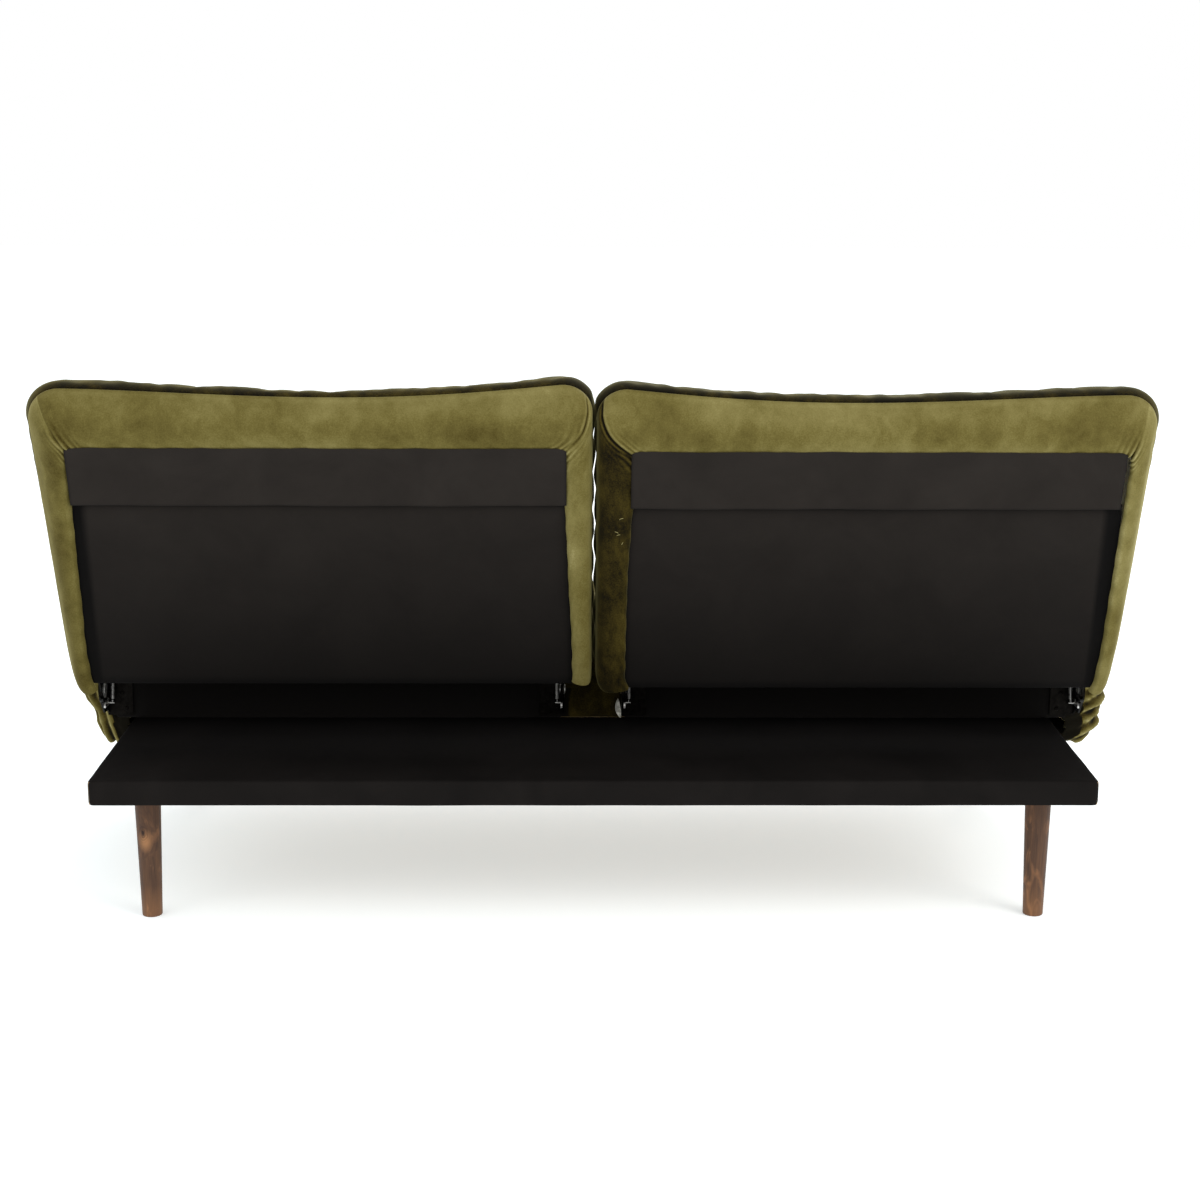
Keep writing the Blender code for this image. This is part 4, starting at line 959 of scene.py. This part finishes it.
def border(back, side):
    rows = smooth_between(BORDER_ROWS, 17)
    tuck = [grown(rows[0], SEAM_TUCK), grown(rows[0], 0.35 * SEAM_TUCK)]
    tuck[0][0], tuck[1][0] = 0.0002, 0.0006
    rows = np.concatenate([tuck, rows, BORDER_TURNED_IN])
    plans = []
    for row in rows:
        past_seam = min(row[0] / 0.010, 1.0)
        end_radius = CORNER_LOW + (BORDER_END_RADIUS[back] - CORNER_LOW) * past_seam
        row[2:4] *= 1 - (1 - np.array(BORDER_OUTER_SHARE[back])) * min(max(row[0] / 0.035, 0.0), 1.0)
        ring = back_outline(row, 0.80, TOP_RISE[back], end_radius, 0.6 * min(row[0] / 0.030, 1.0))
        run = np.concatenate([ring[BACK_ACROSS:], ring[:1]])
        from_foot = np.linalg.norm(run - run[0], axis=1)
        from_end = np.linalg.norm(run - run[-1], axis=1)
        column = np.arange(len(run))
        tail = np.where(column < BACK_ALONG, limited(1 - from_foot / TAIL_LENGTH) ** 2, 0.0)
        drop = np.where(column > BACK_ALONG + BACK_ACROSS, limited(1 - from_end / 0.05) ** 2, 0.0)
        run[:, 1] -= past_seam * (TAIL_DROP * tail + BORDER_END_DROP[back] * drop)
        run[:, 0] -= past_seam * 0.006 * tail
        at_inner = limited((0.075 - run[:, 0]) / 0.02) * min(max(row[1] / 0.044, 0.0), 1.0)
        run[:, 0] += at_inner * np.interp(run[:, 1], *INNER_LEAN[back])
        plans.append(run)
    grid = np.array([on_back(side, plan, row[0]) for plan, row in zip(plans, rows)])
    strip = flat_sheet(back + "_border", grid)
    points, normals = points_of(strip), normals_of(strip)
    if (normals * (points - points.mean(axis=0))).sum() < 0:
        edit_all(strip, bpy.ops.mesh.flip_normals)
        normals = normals_of(strip)
    down, over = grid.shape[:2]
    share = np.repeat(limited((np.arange(down) - 2) / (down - 5)), over)
    steps = np.linalg.norm(np.diff(grid, axis=1), axis=2)
    travelled = np.concatenate([np.zeros((down, 1)), np.cumsum(steps, axis=1)], axis=1)
    column = np.tile(np.arange(over), down)
    lift = 0.0011 * ripple(points, 12.0, 7.0 + side) + 0.0005 * ripple(points, 42.0, 8.0 + side)
    lift *= limited(share * 8)
    # Random brush marks in the pile, and a painted band of shade across the border: lighter near the seam and
    # the rim, darker between.
    brushing_and_shade = 0.13 * ripple(points, 5.5, 3.0 + side) + 0.07 * np.cos(2 * math.pi * (share - 0.2) / 0.85)
    nap = np.empty(len(points))
    outer_corner, inner_corner = BACK_ALONG, BACK_ALONG + BACK_ACROSS
    starts, ends = (0, outer_corner, inner_corner), (outer_corner, inner_corner, over)
    for start, end, value in zip(starts, ends, BORDER_PAINTED_LIGHT[back]):
        nap[(column >= start) & (column <= end)] = value
    nap += brushing_and_shade * (0.35 + nap)
    # At each mitre: a painted dark line of shade in the seam, a painted highlight on the ridge beside it, and
    # puckers painted lighter and darker with their waves. Across the outer corner's fold one side is painted in
    # shade and the other lit.
    for corner, seen in ((outer_corner, share**3), (inner_corner, limited(share * 6))):
        past = (travelled - travelled[:, corner:corner + 1]).ravel()
        away = np.abs(past)
        lift -= 0.0026 * bell(away, 0.0030) * seen
        lift += 0.0016 * bell(away - 0.006, 0.004) * share
        pucker = bell(away, 0.030) * share**3
        wave = np.sin(2 * math.pi * away / 0.0110 + 3.0 * ripple(points, 40.0, 3.0))
        lift += 0.0021 * pucker * wave
        nap += 0.30 * pucker * wave - 0.50 * bell(away, 0.0018) * seen - 0.05 * pucker
        nap += 0.20 * bell(away - 0.0045, 0.002) * seen
        if corner == outer_corner:
            nap += np.where(past > 0, -0.16, 0.16) * np.exp(-away / 0.045) * (0.4 + 0.6 * (side > 0))
    # The staple scallops along the rim are painted lighter and darker with their waves, the rows tucked into
    # the seam are painted in shade, and the border just past the seam is painted with a highlight.
    staple_wave = np.sin(2 * math.pi * travelled.ravel() / 0.043 + 2.0 * ripple(points, 9.0, 5.0))
    lift += 0.0008 * share**4 * staple_wave
    nap += 0.05 * share**4 * staple_wave - 0.30 * (np.repeat(np.arange(down), over) < 2)
    nap += 0.10 * bell(share - 0.06, 0.05)
    move_points(strip, points + normals * lift[:, None])
    mark(strip, "nap", nap)
    return strip


for back, side in (("back_left", -1), ("back_right", 1)):
    panel = front_panel(back, side)
    make_cloth_of(panel, olive_velvet, VELVET_THICK)
    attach(panel, back)
    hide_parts(back + "_cover")
    strip = border(back, side)
    make_cloth_of(strip, olive_velvet, VELVET_THICK)
    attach(strip, back)
    for part in ("stile_inner", "stile_outer", "top_rail", "bottom_rail"):
        dress(f"{back}_{part}", pine_timber)
    dress(back + "_webbing", webbing)
    foam_slab(back + "_foam", back + "_foam_slab", back, thinner=0.18, narrower=0.022,
              front=Vector((0.0, -math.cos(RECLINE), math.sin(RECLINE))),
              up=Vector((0.0, math.sin(RECLINE), math.cos(RECLINE))))

# A few loops of thread stand out of the inner run of one border, each a small flattened ring.
STITCHES = [(0.0440, 0.359, 0.3), (0.0360, 0.334, -0.4), (0.0400, 0.329, 0.2), (0.0470, 0.314, 0.9)]
STITCH_OUT = 0.0468
for k, (across, up, turn) in enumerate(STITCHES):
    middle = on_back(-1, np.array([across, up]), STITCH_OUT)
    stitch = start_piece(f"back_left_stray_stitch_{k + 1}", bpy.ops.mesh.primitive_torus_add, location=middle,
                         rotation=(RECLINE, turn, 0.0), major_segments=20, minor_segments=6,
                         major_radius=0.0030, minor_radius=0.00045)
    bpy.ops.transform.resize(value=(1.0, 0.55, 1.0), center_override=middle)
    end_piece([olive_velvet], 60.0)
    mark(stitch, "nap", np.full(len(stitch.data.vertices), 1.05))
    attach(stitch, "back_left")

# ------------------------------------------------------------ back linings
# Two pieces of black non-woven cloth close the rear of each back. The lower one is stapled to the stiles and
# under the bottom rail, and the upper one is a broad strip folded at its lower edge and stapled over the
# border's edge. Distances are across from the middle of the sofa, up from the axis, and out to the rear.
BAND_INNER = {"back_right": 0.0454, "back_left": 0.0588}
BAND_OUTER = {"back_right": 0.848, "back_left": 0.857}
BAND_FOOT = {"back_right": 0.383, "back_left": 0.378}
BAND_HEIGHT, BAND_OUT = 0.104, 0.0486
PANEL_INNER, PANEL_OUT, PANEL_UNDER_BAND = 0.0505, 0.0364, 0.0057
PANEL_FOOT = {"back_right": 0.0335, "back_left": 0.0255}
PANEL_OUTER_FOOT = {"back_right": 0.867, "back_left": 0.873}
PANEL_OUTER_LEAN = 0.030  # its outer side leans in towards the head, along under the border's edge
BAND_FLAT = {"back_right": (0.803, 0.118), "back_left": (0.798, 0.118)}
PANEL_FLAT = {"back_right": (0.832, 0.385), "back_left": (0.822, 0.385)}


def dust_band(back, side):
    foot, left, right = BAND_FOOT[back], BAND_INNER[back], BAND_OUTER[back]
    head = foot + BAND_HEIGHT
    ups = np.concatenate([[foot + 0.014, foot + 0.003, foot + 0.0005], np.linspace(foot, head, 22)])
    outs = np.concatenate([[BAND_OUT - 0.0016, BAND_OUT - 0.0014, BAND_OUT - 0.0007], np.full(22, BAND_OUT)])
    acrosses = left + (right - left) * bunched(150, 0.5)
    plan = np.array([[(x, u) for x in acrosses] for u in ups])
    flat = np.dstack([plan, np.zeros(plan.shape[:2])])
    at_foot = limited(1 - (plan[..., 1] - foot) / 0.03)
    at_head = limited(1 - (head - plan[..., 1]) / 0.03)
    edge_wave = ripple(flat * (1, 0, 0), 9.0, 1.0 + side)
    fine_wave = ripple(flat * (1, 0, 0), 46.0, 2.0 + side)
    plan[..., 1] += at_foot * 0.0016 * edge_wave + at_head * (0.0012 * edge_wave + 0.0011 * fine_wave)
    from_end = np.minimum(plan[..., 0] - left, right - plan[..., 0])
    plan[..., 1] -= at_head * 0.0050 * limited(1 - from_end / 0.016) ** 2
    wrinkle = ripple(flat * (1.0, 2.4, 1.0), 15.0, 3.0 + side)
    small = ripple(flat, 60.0, 4.0 + side)
    near_ends = limited(1 - from_end / 0.05)
    out = outs[:, None] + 0.0006 + 0.0007 * wrinkle + 0.0003 * small * (0.3 + near_ends)
    in_hem = np.arange(len(ups))[:, None] < 3
    out = np.where(in_hem, outs[:, None], out)
    band = flat_sheet(back + "_lining_band", on_back(side, plan, out))
    shade = 0.08 + 0.25 * limited(1 - (plan[..., 1] - foot) / 0.004)
    shade += 0.5 * limited(1 - from_end / 0.004)
    return band, shade


def dust_panel(back, side):
    foot, head = PANEL_FOOT[back], BAND_FOOT[back] + PANEL_UNDER_BAND
    rows = [(u, PANEL_OUT) for u in np.linspace(head, foot + 0.002, 52)]
    rows += [(foot + 0.0004, PANEL_OUT - 0.0006), (foot, PANEL_OUT - 0.0025)]
    rows += [(foot, out) for out in np.linspace(0.030, 0.003, 6)]
    shares = bunched(104, 0.5)
    plan = []
    for u, _ in rows:
        right = PANEL_OUTER_FOOT[back] - PANEL_OUTER_LEAN * (u - foot)
        left = PANEL_INNER + float(np.interp(u, *INNER_LEAN[back]))
        plan.append([(left + (right - left) * share, u) for share in shares])
    plan = np.array(plan)
    out = np.repeat(np.array([[out] for _, out in rows]), len(shares), axis=1)
    flat = np.dstack([plan, np.zeros(plan.shape[:2])])
    from_inner, from_outer = plan[..., 0] - plan[:, :1, 0], plan[:, -1:, 0] - plan[..., 0]
    side_wave = ripple(flat * (0, 1, 0), 34.0, 5.0 + side)
    at_sides = limited(1 - from_inner / 0.02) + limited(1 - from_outer / 0.02)
    plan[..., 0] += 0.0016 * side_wave * at_sides
    slack = ripple(flat * (1.0, 1.6, 1.0), 7.0, 6.0 + side)
    pulls = ripple(flat * (0.35, 1.0, 1.0), 48.0, 7.0 + side)
    near_side = limited(1 - np.minimum(from_inner, from_outer) / 0.07)
    on_face = limited((plan[..., 1] - foot) / 0.03)
    out += on_face * (0.0012 + 0.0012 * slack + 0.0009 * pulls * near_side)
    panel = flat_sheet(back + "_lining_panel", on_back(side, plan, out))
    height = (plan[..., 1] - foot) / (head - foot)
    shade = 0.24 + 0.56 * (1 - height) + 0.85 * limited((0.032 - from_outer) / 0.014)
    shade += 0.25 * limited(1 - from_inner / 0.010) + 0.80 * limited((height - 0.958) / 0.020)
    shade += 0.5 * limited(1 - (plan[..., 1] - foot) / 0.012)
    return panel, limited(shade)


for back, side in (("back_left", -1), ("back_right", 1)):
    for made, node, flats in ((dust_band, "dust_band", BAND_FLAT), (dust_panel, "dust_panel", PANEL_FLAT)):
        cloth, shade = made(back, side)
        face_rear(cloth)
        mark(cloth, "shade", shade.ravel())
        make_cloth_of(cloth, black_lining, LINING_THICK)
        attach(cloth, back)
        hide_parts(f"{back}_{node}")

# ------------------------------------------------------------ hinges
# Four ratchet hinges of pressed steel, screwed to the rear rail of the seat and to the stiles of the backs.
# The arms and screws are dark, and the pins, pawls and coil springs bright. Each back's arm turns on a
# riveted pin, and a spring with an eye at each end hangs between its two studs.
SPRING_TOP, SPRING_FOOT = (0.0841, 0.3300), (0.0941, 0.2880)  # (y, z) of the studs that its eyes hang on
SPRING_RADIUS, SPRING_WIRE, SPRING_PITCH = 0.0031, 0.0007, 0.00175
PIN_SHANK, PIN_HEAD, PIN_HEAD_DEEP = 0.0040, 0.0080, 0.0025
SCREW_HEAD, SCREW_PROUD = 0.0036, 0.0018
SEAT_SCREWS, SEAT_FLANGE_REAR = ((-0.010, 0.272), (0.011, 0.284), (-0.004, 0.300)), 0.0733  # (across, z), y
BACK_SCREWS, BACK_SCREW_OUT = (0.085, 0.140, 0.195), 0.0175  # up, out to the rear

dark = Finish("dark_zinc", metallic=1.0)
patina = dark.noise(dark.place(), 120.0, 4.0, 0.6, 0.5)
dark.bump(patina, 0.15, 0.0003)
lighter = dark.mapped(patina, 0.35, 0.7)
dark_colour = dark.colours(lighter, (0.0030, 0.0026, 0.0023), (0.0100, 0.0088, 0.0076))
dark_zinc = dark.paint(dark_colour, dark.mapped(patina, 0.3, 0.7, 0.36, 0.55))


def coil_spring(name, across):
    """A close-wound spring with an eye at each end, wound upright and then laid between its two studs."""
    foot, top = Vector((across, *SPRING_FOOT)), Vector((across, *SPRING_TOP))
    run = top - foot
    coils = int((run.length - 4 * SPRING_RADIUS) / SPRING_PITCH)
    wound = coils * SPRING_PITCH
    spring = start_piece(name, bpy.ops.mesh.primitive_circle_add, vertices=8, radius=SPRING_WIRE,
                         location=(SPRING_RADIUS, 0.0, 0.0), rotation=(math.pi / 2, 0.0, 0.0))
    bpy.ops.object.mode_set(mode="OBJECT")
    bpy.ops.object.transform_apply(location=True, rotation=True, scale=True)
    winding = spring.modifiers.new("winding", "SCREW")
    winding.iterations, winding.screw_offset = coils, SPRING_PITCH
    winding.steps = winding.render_steps = 14
    bpy.ops.object.modifier_apply(modifier="winding")
    bpy.ops.object.mode_set(mode="EDIT")
    bpy.ops.mesh.select_all(action="SELECT")
    bpy.ops.mesh.fill_holes(sides=8)
    for middle in (-SPRING_RADIUS, wound + SPRING_RADIUS):
        bpy.ops.mesh.primitive_torus_add(location=(0.0, 0.0, middle), rotation=(0.0, math.pi / 2, 0.0),
                                         major_segments=18, minor_segments=8,
                                         major_radius=SPRING_RADIUS * 0.85, minor_radius=SPRING_WIRE)
    bpy.ops.mesh.select_all(action="SELECT")
    bpy.ops.mesh.normals_make_consistent(inside=False)
    bpy.ops.object.mode_set(mode="OBJECT")
    spring.rotation_euler = run.to_track_quat("Z", "Y").to_euler()
    spring.location = (foot + top) / 2 - run.normalized() * wound / 2
    bpy.ops.object.mode_set(mode="EDIT")
    return end_piece([bright_zinc], 60.0)


def hinge_pin(name, low, high):
    """A riveted pin: a shank with a domed head formed at each end."""
    middle = (low + high) / 2
    half = (high.x - low.x) / 2 - PIN_HEAD_DEEP
    start_piece(name, bpy.ops.mesh.primitive_cylinder_add, vertices=32, radius=PIN_SHANK, depth=2 * half,
                location=middle, rotation=(0.0, math.pi / 2, 0.0))
    for way in (-1, 1):
        end = (middle.x + way * half, middle.y, middle.z)
        select_faces(lambda centre, normal: normal.z * way > 0.9 and abs(centre.z) > half * 0.98)
        first = (PIN_HEAD / PIN_SHANK, 0.0)
        for wider, deep in (first, (1.0, 0.4), (0.86, 0.32), (0.66, 0.18), (0.35, 0.10)):
            outwards = (way * PIN_HEAD_DEEP * deep, 0.0, 0.0)
            bpy.ops.mesh.extrude_region_move(TRANSFORM_OT_translate={"value": outwards})
            bpy.ops.transform.resize(value=(1.0, wider, wider), center_override=end)
    return end_piece([bright_zinc])


def screw_heads(name, body, places, turn):
    """Pan heads with a round socket, all of one hinge as one piece. turn lays them over from pointing up."""
    heads = []
    for place in places:
        head = start_piece(name, bpy.ops.mesh.primitive_cylinder_add, vertices=20, radius=SCREW_HEAD,
                           depth=SCREW_PROUD, location=place, rotation=turn)
        select_faces(lambda centre, normal: normal.z > 0.9)
        bpy.ops.mesh.bevel(offset=0.0011, segments=3)
        select_faces(lambda centre, normal: normal.z > 0.999)
        bpy.ops.mesh.inset(thickness=0.0012)
        inwards = head.matrix_world.to_3x3() @ Vector((0.0, 0.0, -SCREW_PROUD * 0.6))
        bpy.ops.mesh.extrude_region_move(TRANSFORM_OT_translate={"value": inwards})
        heads.append(end_piece([dark_zinc]))
    pick(heads[0])
    for head in heads:
        head.select_set(True)
    bpy.ops.object.join()
    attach(heads[0], body)


for back, side in (("back_left", -1), ("back_right", 1)):
    for place, way in (("inner", -1), ("outer", 1)):
        hinge = f"{back}_{place}_hinge"
        for part, plated in (("_back_arm", dark_zinc), ("_seat_arm", dark_zinc), ("_pawl", bright_zinc)):
            dress(hinge + part, plated)
        low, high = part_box(hinge + "_pin")
        pin = hinge_pin(hinge + "_riveted_pin", low, high)
        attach(pin, "base")
        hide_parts(hinge + "_pin")
        low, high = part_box(hinge + "_spring")
        spring = coil_spring(hinge + "_coil_spring", (low.x + high.x) / 2)
        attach(spring, "base")
        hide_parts(hinge + "_spring")
        low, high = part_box(hinge + "_seat_arm")
        flange_middle = (low.x + high.x) / 2
        y = SEAT_FLANGE_REAR + SCREW_PROUD / 2
        places = [(flange_middle + side * aside, y, z) for aside, z in SEAT_SCREWS]
        screw_heads(hinge + "_seat_screws", "base", places, (-math.pi / 2, 0.0, 0.0))
        low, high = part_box(hinge + "_back_arm")
        towards = side * way
        across = (high.x if towards > 0 else low.x) + towards * SCREW_PROUD / 2
        places = [on_back(1, np.array([across, up]), BACK_SCREW_OUT) for up in BACK_SCREWS]
        screw_heads(hinge + "_back_screws", back, places, (0.0, towards * math.pi / 2, 0.0))
